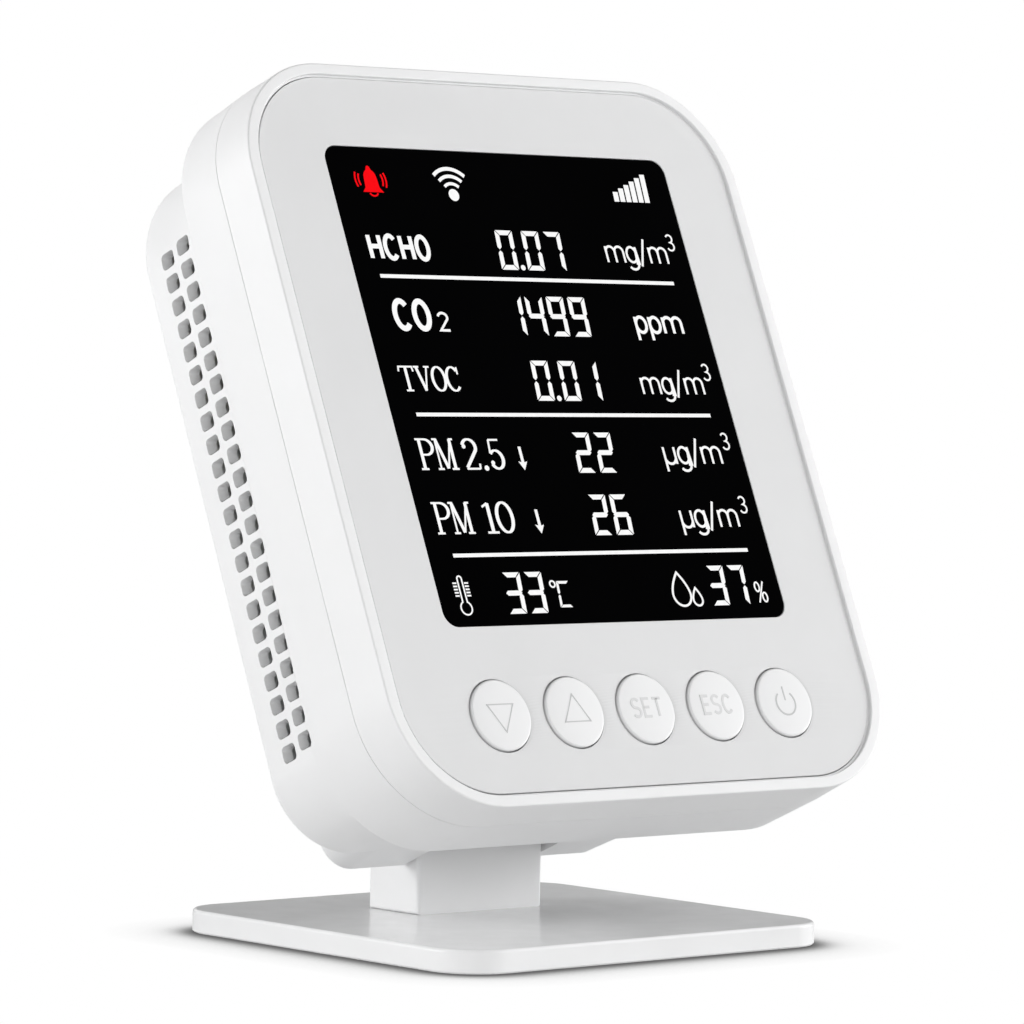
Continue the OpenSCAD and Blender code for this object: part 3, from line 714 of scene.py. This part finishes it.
def build_rear_casing():
    """Stepped shell, cut by its cavity, vents, socket opening and screw holes."""
    groove, start = PARTING + PARTING_GAP, PARTING + 0.02
    steps = ((WALL + FIT, REAR_LOW.y), (WALL + FIT, start), (PARTING_DEEP, start),
             (PARTING_DEEP, groove), (PARTING_EDGE, groove), (0, groove + PARTING_EDGE))
    rings = [face_ring(body_outline(inset), depth) for inset, depth in steps]
    rings += [leaning_ring(faded(body_outline(0), body_outline(i)), d)
              for i, d in quarter(SHOULDER_R, SHOULDER - SHOULDER_R, SHOULDER_R, 180, 90, 4)]
    bulge = bulge_outline(0)
    tucks = ((0.01, SHOULDER_R + BULGE_TUCK, SHOULDER), (0, BULGE_TUCK, SHOULDER + 0.3))
    rings += [leaning_ring(faded(tucked(bulge, low), tucked(bulge, high)), depth)
              for low, high, depth in tucks]
    rings += [face_ring(bulge_outline(i), d)
              for i, d in quarter(BACK_EDGE_R, BACK - BACK_EDGE_R, BACK_EDGE_R, 180, 90, 8)]
    shell = loft("rear_casing_shell", rings)

    cavity = ((body_outline(WALL + TONGUE_T), REAR_LOW.y - 1),
              (body_outline(WALL + TONGUE_T), TONGUE_BACK),
              (body_outline(WALL), TONGUE_BACK + 0.01), (body_outline(WALL), SHOULDER - WALL),
              (bulge_outline(WALL), SHOULDER - WALL + 0.01), (bulge_outline(WALL), BACK - WALL))
    carve(shell, loft("cavity", [face_ring(outline, depth) for outline, depth in cavity]))
    carve(shell, vent_cutter())
    half_d, half_h = PORT_HALF
    port = round_outline(PORT_DEPTH - half_d, PORT_DEPTH + half_d, PORT_HEIGHT + half_h,
                         PORT_HEIGHT - half_h, PORT_R, steps=8)
    carve(shell, cross_prism(port, BODY_W / 2 - 6, BODY_W / 2 + 2))
    inside = BACK - WALL
    cutters = [prism(circle(x, z, SCREW_HEAD_R), inside - 1, BACK + 1) for x, z in SCREW_SPOTS]
    carve(shell, join(*cutters))
    for front, back, bore_r in ((9.5, COLUMN_BACK, SCREW_HOLE_R),
                                (COLUMN_BACK - 0.1, inside + 0.1, SCREW_HEAD_R)):
        join(shell, *[tube(x, z, front, back, COLUMN_R, bore_r) for x, z in SCREW_SPOTS])
    settle(shell, HOUSING, "housing", "casing_white", "rear_casing")


def hinge_outline(half, inset):
    return round_outline(inset - half, half - inset, HINGE_HIGH.z - inset, HINGE_LOW.z + inset,
                         HINGE_R - inset, steps=10)


def build_hinge_housing():
    """Tapered block with soft edges, slotted for the stem and hollow beside it."""
    root_half = HINGE_HIGH.x
    front, back = HINGE_LOW.y, HINGE_HIGH.y
    edge = HINGE_EDGE_R

    def half_at(depth):
        return root_half + (HINGE_HALF - root_half) * (depth - front) / (back - front)

    rings = [face_ring(hinge_outline(root_half, 0), front)]
    rings += [face_ring(hinge_outline(half_at(d), i), d)
              for i, d in quarter(edge, back - edge, edge, 180, 90, 8)]
    shell = loft("hinge_housing_shell", rings)

    top, low = HINGE_HIGH.z - CHEEK, HINGE_LOW.z + CHEEK
    inner = HINGE_HALF - CHEEK
    carve(shell, prism(box_outline(-inner, inner, low, top), front - 1, CHANNEL_FRONT - CHEEK))
    bosses = []
    for side in (-1, 1):
        pocket = box_outline(*sorted((side * (CHANNEL_HALF + CHEEK), side * inner)), low, top)
        carve(shell, prism(pocket, CHANNEL_FRONT - CHEEK - 0.05, back - CHEEK))
        bosses.append(cross_tube(*sorted((side * (CHANNEL_HALF + CHEEK - 0.05), side * PIN_BOSS_OUT)),
                                 PIN_BOSS_R, PIN_BORE_R))
    slot_top, mouth, past = PIVOT.z + CHANNEL_RISE, HINGE_LOW.z, back + 1
    slot = [(CHANNEL_FRONT, slot_top), (CHANNEL_FRONT, PIVOT.z - CHANNEL_BEND), (CHANNEL_MOUTH, mouth),
            (CHANNEL_MOUTH, mouth - 1), (past, mouth - 1), (past, slot_top)]
    carve(shell, cross_prism(slot, -CHANNEL_HALF, CHANNEL_HALF))
    carve(shell, cross_prism(circle(PIVOT.y, PIVOT.z, PIN_BORE_R), 1 - inner, inner - 1))
    columns = [tube(x, z, front, back - CHEEK + 0.05, 3, BOSS_BORE_R) for x, z in HINGE_SPOTS]
    join(shell, *bosses, *columns)
    settle(shell, HOUSING, "housing", "casing_white", "hinge_housing")


def cross_tube(left, right, outer_r, bore_r):
    """Round boss about the hinge pin."""
    profile = ((bore_r, left), (outer_r, left), (outer_r, right), (bore_r, right))
    rings = [[(x, d, z) for d, z in circle(PIVOT.y, PIVOT.z, r, 40)] for r, x in profile]
    return loft("tube", rings, True)


# ---- flat graphics


class Graphics:
    """Collects thin flat shapes drawn on the face, as closed solids in one mesh."""

    def __init__(self, front, back):
        self.front, self.back = front, back
        self.verts, self.faces = [], []

    def fill(self, outline):
        """Closed shape without holes."""
        start, count = len(self.verts), len(outline)
        for depth in (self.front, self.back):
            self.verts += [(x, depth, z) for x, z in outline]
        self.faces.append(tuple(range(start, start + count)))
        self.faces.append(tuple(range(start + 2 * count - 1, start + count - 1, -1)))
        for j in range(count):
            k = (j + 1) % count
            self.faces.append((start + j, start + count + j, start + count + k, start + k))

    def stroke(self, points, width, closed=False, thin=1.0):
        """Line with mitred corners; level parts are narrowed to a share thin of the width."""
        count = len(points)
        left, right = [], []
        for i, point in enumerate(points):
            before = points[i - 1] if closed or i else None
            after = points[(i + 1) % count] if closed or i < count - 1 else None
            offset = mitre(before, point, after, width / 2, thin)
            left.append((point[0] + offset.x, point[1] + offset.y))
            right.append((point[0] - offset.x, point[1] - offset.y))
        start = len(self.verts)
        for depth in (self.front, self.back):
            self.verts += [(x, depth, z) for x, z in left + right]
        a, b, c, d = (start + n * count for n in range(4))
        for i in range(count if closed else count - 1):
            j = (i + 1) % count
            self.faces += [(a + i, a + j, b + j, b + i), (c + j, c + i, d + i, d + j),
                           (a + j, a + i, c + i, c + j), (b + i, b + j, d + j, d + i)]
        if not closed:
            e = count - 1
            self.faces += [(a, b, d, c), (b + e, a + e, c + e, d + e)]

    def build(self, name):
        return mesh_object(name, self.verts, self.faces)


def mitre(before, point, after, half, thin):
    """Offset to the left of a line at a point, stretched at corners and narrowed where level."""
    here = Vector(point)
    arriving = (here - Vector(before)).normalized() if before else None
    leaving = (Vector(after) - here).normalized() if after else None
    arriving, leaving = arriving or leaving, leaving or arriving
    along = (arriving + leaving)
    along = along.normalized() if along.length > 1e-6 else leaving
    normal = Vector((-along.y, along.x))
    stretch = max(abs(normal.dot(Vector((-leaving.y, leaving.x)))), 0.45)
    return normal * (half / stretch) * (thin + (1 - thin) * abs(along.y))


def line(*points):
    return points, "line"


def hair(*points):
    return points, "hair"


def loop(cx, cy, rx, ry):
    return arc(cx, cy, rx, ry, 0, 360, 28)[:-1], "loop"


def dot(x, z, radius):
    return (x, z, radius), "dot"


def hook(cx, cy, rx, ry, start, end, steps=14):
    return arc(cx, cy, rx, ry, start, end, steps)


# Each letter on a cap height of 1: its width, then its strokes.
PLAIN = {
    "H": (0.56, line((0, 0), (0, 1)), line((0.56, 0), (0.56, 1)), line((0, 0.52), (0.56, 0.52))),
    "C": (0.6, line(*hook(0.3, 0.5, 0.3, 0.5, 42, 318, 24))),
    "O": (0.6, loop(0.3, 0.5, 0.3, 0.5)),
    "T": (0.56, line((0, 1), (0.56, 1)), line((0.28, 1), (0.28, 0))),
    "S": (0.5, line(*hook(0.25, 0.75, 0.25, 0.25, 30, 270),
                    *hook(0.25, 0.25, 0.25, 0.25, 90, -150)[1:])),
    "E": (0.46, line((0.46, 1), (0, 1), (0, 0), (0.46, 0)), line((0, 0.52), (0.4, 0.52))),
    "m": (0.86, line((0, 0), (0, 0.66)),
          line((0, 0.36), *hook(0.215, 0.44, 0.215, 0.22, 160, 0, 10), (0.43, 0)),
          line((0.43, 0.36), *hook(0.645, 0.44, 0.215, 0.22, 160, 0, 10), (0.86, 0))),
    "g": (0.48, line((0.48, 0.66), (0.48, -0.08), *hook(0.24, -0.08, 0.24, 0.2, 0, -150, 10)),
          loop(0.24, 0.34, 0.24, 0.32)),
    "p": (0.48, line((0, 0.66), (0, -0.3)), loop(0.24, 0.34, 0.24, 0.32)),
    "u": (0.5, line((0, 0.66), (0, -0.3)),
          line((0, 0.3), *hook(0.24, 0.24, 0.24, 0.24, 180, 330, 10), (0.5, 0.22)),
          line((0.5, 0.66), (0.5, 0))),
    "/": (0.36, line((0, -0.14), (0.36, 1))),
    "2": (0.5, line(*hook(0.25, 0.74, 0.25, 0.26, 165, -20), (0, 0), (0.5, 0))),
    "3": (0.5, line(*hook(0.23, 0.76, 0.24, 0.24, 150, -90),
                    *hook(0.23, 0.26, 0.27, 0.26, 90, -155)[1:])),
    "%": (0.5, line((0.06, 0), (0.44, 1)), loop(0.11, 0.75, 0.11, 0.22),
          loop(0.39, 0.25, 0.11, 0.22)),
}
# The same for letters with serifs, where level strokes are thin.
SERIF = {
    "T": (0.66, hair((0, 1), (0.66, 1)), hair((0.02, 1.03), (-0.02, 0.8)),
          hair((0.64, 1.03), (0.68, 0.8)), line((0.33, 1), (0.33, 0)), hair((0.16, 0), (0.5, 0))),
    "V": (0.7, line((0.1, 1), (0.36, 0)), hair((0.6, 1), (0.36, 0)), hair((-0.03, 1), (0.23, 1)),
          hair((0.47, 1), (0.73, 1))),
    "O": (0.6, loop(0.3, 0.5, 0.3, 0.5)),
    "C": (0.58, line(*hook(0.3, 0.5, 0.3, 0.5, 42, 318, 24)), hair((0.56, 1), (0.56, 0.7))),
    "P": (0.6, line((0.1, 0), (0.1, 1)),
          line((0.1, 1), (0.3, 1), *hook(0.3, 0.74, 0.3, 0.26, 90, -90)[1:], (0.1, 0.48)),
          hair((-0.05, 1), (0.12, 1)), hair((-0.05, 0), (0.25, 0))),
    "M": (0.78, hair((0.08, 0), (0.08, 1)), line((0.1, 1), (0.39, 0.02)), hair((0.7, 1), (0.4, 0.02)),
          line((0.68, 0), (0.68, 1)), hair((-0.04, 0), (0.2, 0)), hair((-0.04, 1), (0.14, 1)),
          hair((0.54, 0), (0.82, 0)), hair((0.66, 1), (0.82, 1))),
    "2": (0.5, line(*hook(0.25, 0.74, 0.25, 0.26, 165, -28), (0.0, 0.04)), line((-0.02, 0), (0.5, 0)),
          hair((0.5, 0), (0.52, 0.17)), dot(0.05, 0.76, 0.07)),
    "5": (0.48, line((0.44, 0.98), (0.06, 0.98)), hair((0.07, 0.98), (0.03, 0.52)),
          line(*hook(0.23, 0.31, 0.25, 0.31, 140, -150, 18)), dot(0.05, 0.2, 0.07)),
    "1": (0.36, line((0.2, 0), (0.2, 0.98)), hair((0, 0.86), (0.2, 0.98)), hair((0, 0), (0.4, 0))),
    "0": (0.54, loop(0.27, 0.5, 0.27, 0.5)),
    ".": (0.06, dot(0.03, 0.02, 0.085)),
}
HAIR = 0.55
SERIF_THIN = 0.5


def write(graphics, text, left, right, low, cap, weight, clear=0.3):
    """Draws text between two ends, on a baseline, with a cap height and a stroke width.

    A clear distance below nought asks for letters with serifs.
    """
    letters, thin = (PLAIN, 1.0) if clear > 0 else (SERIF, SERIF_THIN)
    glyphs = [letters[letter] for letter in text]
    room = right - left - len(text) * weight - (len(text) - 1) * clear
    stretch = room / sum(glyph[0] for glyph in glyphs)
    pen, foot = left + weight / 2, low + weight * thin / 2
    rise = cap - weight * thin
    for width, *strokes in glyphs:
        for shape, kind in strokes:
            if kind == "dot":
                x, z, radius = shape
                graphics.fill(circle(pen + x * stretch, foot + z * rise, radius * cap, 20))
                continue
            points = [(pen + x * stretch, foot + z * rise) for x, z in shape]
            if kind == "hair":
                graphics.stroke(points, weight * HAIR)
            else:
                graphics.stroke(points, weight, kind == "loop", thin)
        pen += width * stretch + weight + clear


SEGMENTS = {"0": "abcdef", "1": "bc", "2": "abdeg", "3": "abcdg", "4": "bcfg",
            "6": "acdefg", "7": "abc", "9": "abcdfg", "C": "adef"}
SLANT = 0.075


def segment_digit(graphics, digit, left, low, width, height, thick=0.78, slit=0.1):
    """Seven-segment figure from bevelled bars, leaning a little to the right."""
    mid, half = height / 2, thick / 2

    def across_bar(z, lean):
        """Level bar; lean is 1 for the top, -1 for the bottom and 0 for the middle."""
        a, b = slit + 0.05, width - slit - 0.05
        if lean == 0:
            return [(a + half, z - half), (b - half, z - half), (b, z), (b - half, z + half),
                    (a + half, z + half), (a, z)]
        return [(a, z), (b, z), (b - thick, z - lean * thick), (a + thick, z - lean * thick)]

    def up_bar(x, outer, inner, inward):
        """Upright bar at the left or right edge; its outer end is long and its inner end short."""
        sign = 1 if outer < inner else -1
        outer, inner = outer + sign * slit, inner - sign * slit
        return [(x, outer), (x, inner - sign * half), (x + inward * half, inner),
                (x + inward * thick, inner - sign * half), (x + inward * thick, outer + sign * thick)]

    bars = {
        "a": across_bar(height, 1), "d": across_bar(0, -1), "g": across_bar(mid, 0),
        "f": up_bar(0, height, mid, 1), "b": up_bar(width, height, mid, -1),
        "e": up_bar(0, 0, mid, 1), "c": up_bar(width, 0, mid, -1),
    }
    for name in SEGMENTS[digit]:
        graphics.fill([(left + x + SLANT * z, low + z) for x, z in bars[name]])


def arrow_down(graphics, x, low, high):
    graphics.stroke([(x, high), (x, low + 1.2)], 0.52)
    graphics.fill([(x, low), (x + 0.85, low + 1.4), (x + 0.3, low + 1.25), (x - 0.3, low + 1.25),
                   (x - 0.85, low + 1.4)])


def drop(graphics, x, low, width, height, weight):
    """Outline of a water drop."""
    r = (width - weight) / 2
    middle, rise, steps = low + r + weight / 2, height - r - weight, 10
    side = [(r * (1 - (i / steps) ** 1.7), middle + rise * i / steps) for i in range(1, steps)]
    left = [(x - px, z) for px, z in reversed(side)]
    right = [(x + px, z) for px, z in side]
    graphics.stroke([(x, middle + rise)] + left + arc(x, middle, r, r, 180, 360, 22) + right,
                    weight, closed=True)


# Rows of the display: label, its ends, baseline above the display's centre and cap height.
LABELS = (
    ("HCHO", -30.8, -18.7, 19.95, 4.5, 0.74, 0.25),
    ("CO", -29.4, -22.0, 8.4, 5.4, 0.9, 0.22),
    ("2", -20.9, -18.7, 8.45, 3.25, 0.4, 0.3),
    ("TVOC", -31.4, -19.5, -1.35, 4.1, 0.5, -0.12),
    ("PM", -31.6, -24.2, -14.0, 5.05, 0.55, -0.12),
    ("2", -22.9, -19.8, -14.0, 5.05, 0.6, -0.05),
    (".", -19.3, -18.4, -14.0, 5.05, 0.6, -0.05),
    ("5", -17.9, -14.9, -14.0, 5.05, 0.6, -0.05),
    ("PM", -31.7, -24.3, -24.25, 5.1, 0.55, -0.12),
    ("10", -22.2, -16.1, -24.25, 5.1, 0.62, -0.05),
    ("%", 29.2, 31.6, -36.5, 3.7, 0.27, 0.3),
)
UNITS = (
    ("mg/m", 17.2, 30.3, 20.6, 4.45, 0.38, 22.95),
    ("ppm", 19.3, 29.4, 8.55, 4.6, 0.52, None),
    ("mg/m", 17.1, 30.3, -1.7, 4.45, 0.38, 0.75),
    ("ug/m", 17.8, 30.0, -13.4, 4.6, 0.4, -10.95),
    ("ug/m", 17.7, 29.9, -23.95, 4.6, 0.4, -21.6),
)
# Figures: digits with the left edge of each, baseline, height and the place of a decimal point.
FIGURES = (
    ((("0", -5.2), ("0", 0.15), ("7", 4.6)), 19.0, 6.6, -0.8),
    ((("1", -7.0), ("4", -2.7), ("9", 1.65), ("9", 6.05)), 8.0, 6.6, None),
    ((("0", -5.05), ("0", 0.45), ("1", 4.85)), -2.75, 6.6, -0.6),
    ((("2", -0.6), ("2", 3.8)), -14.6, 6.6, None),
    ((("2", -0.65), ("6", 3.7)), -24.8, 6.6, None),
    ((("3", -21.9), ("3", -17.65)), -37.05, 6.55, None),
    ((("3", 19.7), ("7", 24.0)), -36.65, 6.5, None),
)
FIGURE_W = 3.45
RULES = (17.4, -5.1, -27.65)
RULE_ENDS = (-29.9, 30.0)
RULE_T = 0.58


def build_display():
    """Everything the display shows, as thin shapes just proud of the pane."""
    depths = (WINDOW_LOW.y - 0.05, WINDOW_LOW.y + 0.02)
    up = (WINDOW_LOW.z + WINDOW_HIGH.z) / 2

    digits = Graphics(*depths)
    for figures, low, height, point in FIGURES:
        for digit, left in figures:
            segment_digit(digits, digit, left, up + low, FIGURE_W, height)
        if point is not None:
            digits.fill(circle(point, up + low + 0.4, 0.45, 20))
    segment_digit(digits, "C", -11.5, up - 36.25, 2.5, 4.2, 0.42, 0.06)
    digits.stroke(circle(-12.0, up - 32.5, 0.5, 20), 0.26, closed=True)
    light_up(digits, "display_figures")

    labels = Graphics(*depths)
    for text, left, right, low, cap, weight, clear in LABELS:
        write(labels, text, left, right, up + low, cap, weight, clear)
    for text, left, right, low, cap, weight, power in UNITS:
        write(labels, text, left, right, up + low, cap, weight)
        if power is not None:
            write(labels, "3", 30.8, 32.4, up + power, 2.95, 0.28)
    arrow_down(labels, -11.4, up - 14.1, up - 10.3)
    arrow_down(labels, -11.4, up - 24.35, up - 20.5)
    light_up(labels, "display_labels")

    rules = Graphics(*depths)
    for height in RULES:
        rules.fill(box_outline(*RULE_ENDS, up + height - RULE_T / 2, up + height + RULE_T / 2))
    light_up(rules, "display_rules")

    icons = Graphics(*depths)
    draw_radio(icons, -11.0, up + 31.3)
    draw_signal(icons, 22.2, up + 31.3)
    draw_thermometer(icons, -29.95, up - 37.0)
    drop(icons, 13.7, up - 36.75, 4.0, 5.8, 0.36)
    drop(icons, 16.75, up - 36.75, 2.2, 3.2, 0.32)
    light_up(icons, "display_icons")

    alarm = Graphics(*depths)
    draw_bell(alarm, -26.9, up + 30.3)
    light_up(alarm, "display_alarm", "lcd_red")


def light_up(graphics, name, finish="lcd_light"):
    settle(graphics.build(name), HOUSING, "housing", "lcd_light", finish=finish)


def draw_radio(graphics, x, low):
    """Dot with three arcs above it."""
    graphics.fill(circle(x, low, 1.0, 24))
    for radius, weight in ((2.1, 0.5), (3.35, 0.55), (4.6, 0.6)):
        graphics.stroke(arc(x, low - 0.2, radius, radius, 132, 48, 16), weight)


def draw_signal(graphics, left, low):
    """Six rising bars."""
    width, pitch, lean = 0.98, 1.3, 0.06
    for i in range(6):
        height = 1.65 + i * 0.64
        x = left + i * pitch
        graphics.fill([(x, low), (x + width, low), (x + width + lean * height, low + height),
                       (x + lean * height, low + height)])


def draw_thermometer(graphics, x, low):
    """Stem and bulb with short scale marks on both sides."""
    weight = 0.24
    bulb_r, stem_half, top = 1.05, 0.42, 6.1
    outline = arc(x, low + bulb_r, bulb_r, bulb_r, 115, 425, 26)
    outline += arc(x, low + top - stem_half, stem_half, stem_half, 0, 180, 10)
    graphics.stroke(outline, weight, closed=True)
    for i in range(5):
        height = low + 3.0 + i * 0.5
        for side in (-1, 1):
            graphics.stroke([(x + side * 0.75, height), (x + side * 1.5, height)], weight)


def draw_bell(graphics, x, low):
    """Alarm bell with ringing arcs at each side."""
    body = [(-2.0, 0.95), (-1.35, 1.75), (-1.25, 3.2)]
    body += arc(0, 3.4, 1.2, 1.35, 175, 115, 8)
    knob = arc(0, 5.0, 0.34, 0.34, 150, 30, 8)
    body += knob + [(-px, pz) for px, pz in reversed(body)]
    graphics.fill([(x + px, low + pz) for px, pz in body])
    graphics.stroke(arc(x, low + 0.95, 0.8, 0.62, 195, 345, 12), 0.26)
    for middle in (180, 0):
        for radius in (2.35, 3.0):
            graphics.stroke(arc(x, low + 3.0, radius, radius, middle - 24, middle + 24, 10), 0.28)


# ---- buttons


def cap_profile(front, back):
    """(radius, depth) points of a button from the middle of its domed face to its finger."""
    cap_r, flange_r, finger_r = cap_radius(), cap_radius() + FLANGE_W, 1.8
    flange_front, flange_back = PLATE_T + 0.05, 2.5
    edge, steps = 0.32, 10
    flat_r = cap_r - edge
    face = [flat_r * i / steps for i in range(steps + 1)]
    points = [(r, front - CAP_DOME * (1 - (r / flat_r) ** 2)) for r in face]
    points += quarter(flat_r, front + edge, edge, 285, 360, 6)
    points += [(cap_r, flange_front), (flange_r, flange_front), (flange_r, flange_back),
               (finger_r, flange_back), (finger_r, back - 0.1), (finger_r - 0.1, back)]
    return points


MARK_WORDS = {"set": "SET", "escape": "ESC"}


def draw_mark(graphics, name, x, z):
    """The raised sign on a button."""
    fine, medium, bold = 0.17, 0.26, 0.42
    if name in MARK_WORDS:
        write(graphics, MARK_WORDS[name], x - 3.15, x + 3.15, z - 1.55, 3.25, bold)
    elif name == "power":
        graphics.stroke(arc(x, z - 0.2, 1.95, 1.95, 130, 410, 30), medium)
        graphics.stroke([(x, z + 0.2), (x, z + 2.45)], medium)
    else:
        flip = 1 if name == "up" else -1
        corners = [(-2.5, -1.6), (2.5, -1.6), (0, 2.7)]
        graphics.stroke([(x + px, z + flip * pz) for px, pz in corners], fine, closed=True)


def build_buttons():
    for name, x, z in button_places():
        low, high = local_box("button_" + name)
        cap = turned("cap_" + name, cap_profile(low.y + CAP_DOME, high.y), (x, z))
        body = "key_" + name
        settle(cap, HOUSING, body, "button_white", "button_" + name)
        sign = Graphics(low.y - 0.02, low.y + 0.3)
        draw_mark(sign, name, x, z)
        # The sign's grey finish is painted shade for the shading along its raised strokes.
        tone = "mark_soft" if name in MARK_WORDS else "mark_grey"
        settle(sign.build("mark_" + name), HOUSING, body, "button_white", finish=tone)


# ---- studio


AMBIENT = 0.16
FLOOR_R = 3.0
LIGHT_TARGET = Vector((0, 0, 0.07))
# Soft boxes: place and size in metres, power in watts.
LIGHTS = {
    "key_right": ((0.8, -0.5, 0.55), (0.7, 0.7), 3.9),
    "low_right": ((0.9, -0.3, 0.15), (0.5, 0.25), 4.1),
    "key_left": ((-0.9, -0.45, 0.3), (0.9, 0.8), 1.7),
    "front_near": ((-0.55, -0.75, 0.2), (0.4, 0.4), 1.6),
    "front_high": ((0.1, -1.1, 0.6), (0.9, 0.6), 2.3),
    "back_left": ((-0.7, 0.5, 0.3), (0.5, 0.5), 4.1),
    "back": ((0.1, 1.0, 0.5), (0.9, 0.6), 1.8),
}
CAMERA_PLACE = (-0.52624, -0.60752, 0.09437)
CAMERA_ANGLES = (-40.92, 2.012, 1.026)  # heading, dip and roll in degrees
CAMERA_LENS = 182.7
# The contact shadow on the floor: its reach in millimetres, the openness at which it ends, how
# fast it falls off and its deepest tone.
SHADOW_REACH = 14.0
SHADOW_END = 0.975
SHADOW_FALL = 5.5
SHADOW_DEEP = 0.14


def build_world():
    """White to the camera, and a dim even light to everything else."""
    bpy.context.scene.view_settings.view_transform = "Standard"
    world = bpy.data.worlds.new("studio")
    bpy.context.scene.world = world
    world.use_nodes = True
    tree = world.node_tree
    backdrop = tree.nodes["Background"]
    backdrop.inputs["Color"].default_value = (1, 1, 1, 1)
    path = tree.nodes.new("ShaderNodeLightPath")
    strength = tree.nodes.new("ShaderNodeMapRange")
    strength.inputs["To Min"].default_value = AMBIENT
    tree.links.new(path.outputs["Is Camera Ray"], strength.inputs["Value"])
    tree.links.new(strength.outputs["Result"], backdrop.inputs["Strength"])


def build_floor():
    """Round sheet of paper: the camera sees it white with a contact shadow, other rays see it matt."""
    sides = 64
    floor = mesh_object("floor", floor_ring(circle(0, 0, FLOOR_R, sides), 0), [tuple(range(sides))])
    s = Shader("floor_paper", Roughness=0.9, Specular_IOR_Level=0.0)
    s.drive("Base Color", s.blend(s.ramp(s.noise(120, 4), 0, 1), (0.9, 0.9, 0.9), (0.88, 0.88, 0.88)))
    seen = s.node("ShaderNodeLightPath")
    near = s.node("ShaderNodeAmbientOcclusion", Distance=SHADOW_REACH * MM)
    near.samples = 16
    fall = s.node("ShaderNodeMath")
    fall.operation = "POWER"
    fall.inputs[1].default_value = SHADOW_FALL
    s.link(s.ramp(near.outputs["AO"], 0, 1, 0, SHADOW_END), fall.inputs[0])
    paper = s.node("ShaderNodeEmission")
    s.link(s.ramp(fall.outputs["Value"], SHADOW_DEEP, 1, 0, 1), paper.inputs["Strength"])
    either = s.node("ShaderNodeMixShader")
    s.link(seen.outputs["Is Camera Ray"], either.inputs["Fac"])
    s.link(s.surface.outputs["BSDF"], either.inputs[1])
    s.link(paper.outputs["Emission"], either.inputs[2])
    s.link(either.outputs["Shader"], s.tree.nodes["Material Output"].inputs["Surface"])
    floor.data.materials.append(s.material)


def build_lights():
    for name, (place, size, power) in LIGHTS.items():
        light = bpy.data.lights.new(name, "AREA")
        light.shape = "RECTANGLE"
        light.size, light.size_y = size
        light.energy = power
        light.spread = math.pi
        lamp = new_object(name, light)
        lamp.location = place
        lamp.rotation_euler = (LIGHT_TARGET - Vector(place)).to_track_quat("-Z", "Y").to_euler()


def build_camera():
    camera = bpy.data.cameras.new("camera")
    camera.lens = CAMERA_LENS
    camera.sensor_width = 36
    camera.clip_end = 20
    view = new_object("camera", camera)
    heading, dip, roll = (math.radians(a) for a in CAMERA_ANGLES)
    turn = Euler((math.pi / 2 - dip, 0, heading)).to_matrix() @ Matrix.Rotation(roll, 3, "Z")
    view.matrix_world = Matrix.Translation(CAMERA_PLACE) @ turn.to_4x4()
    bpy.context.scene.camera = view


finish_cad_nodes()
build_stand()
build_front_casing()
build_face_plate()
build_window()
build_rear_casing()
build_hinge_housing()
build_display()
build_buttons()
build_world()
build_floor()
build_lights()
build_camera()
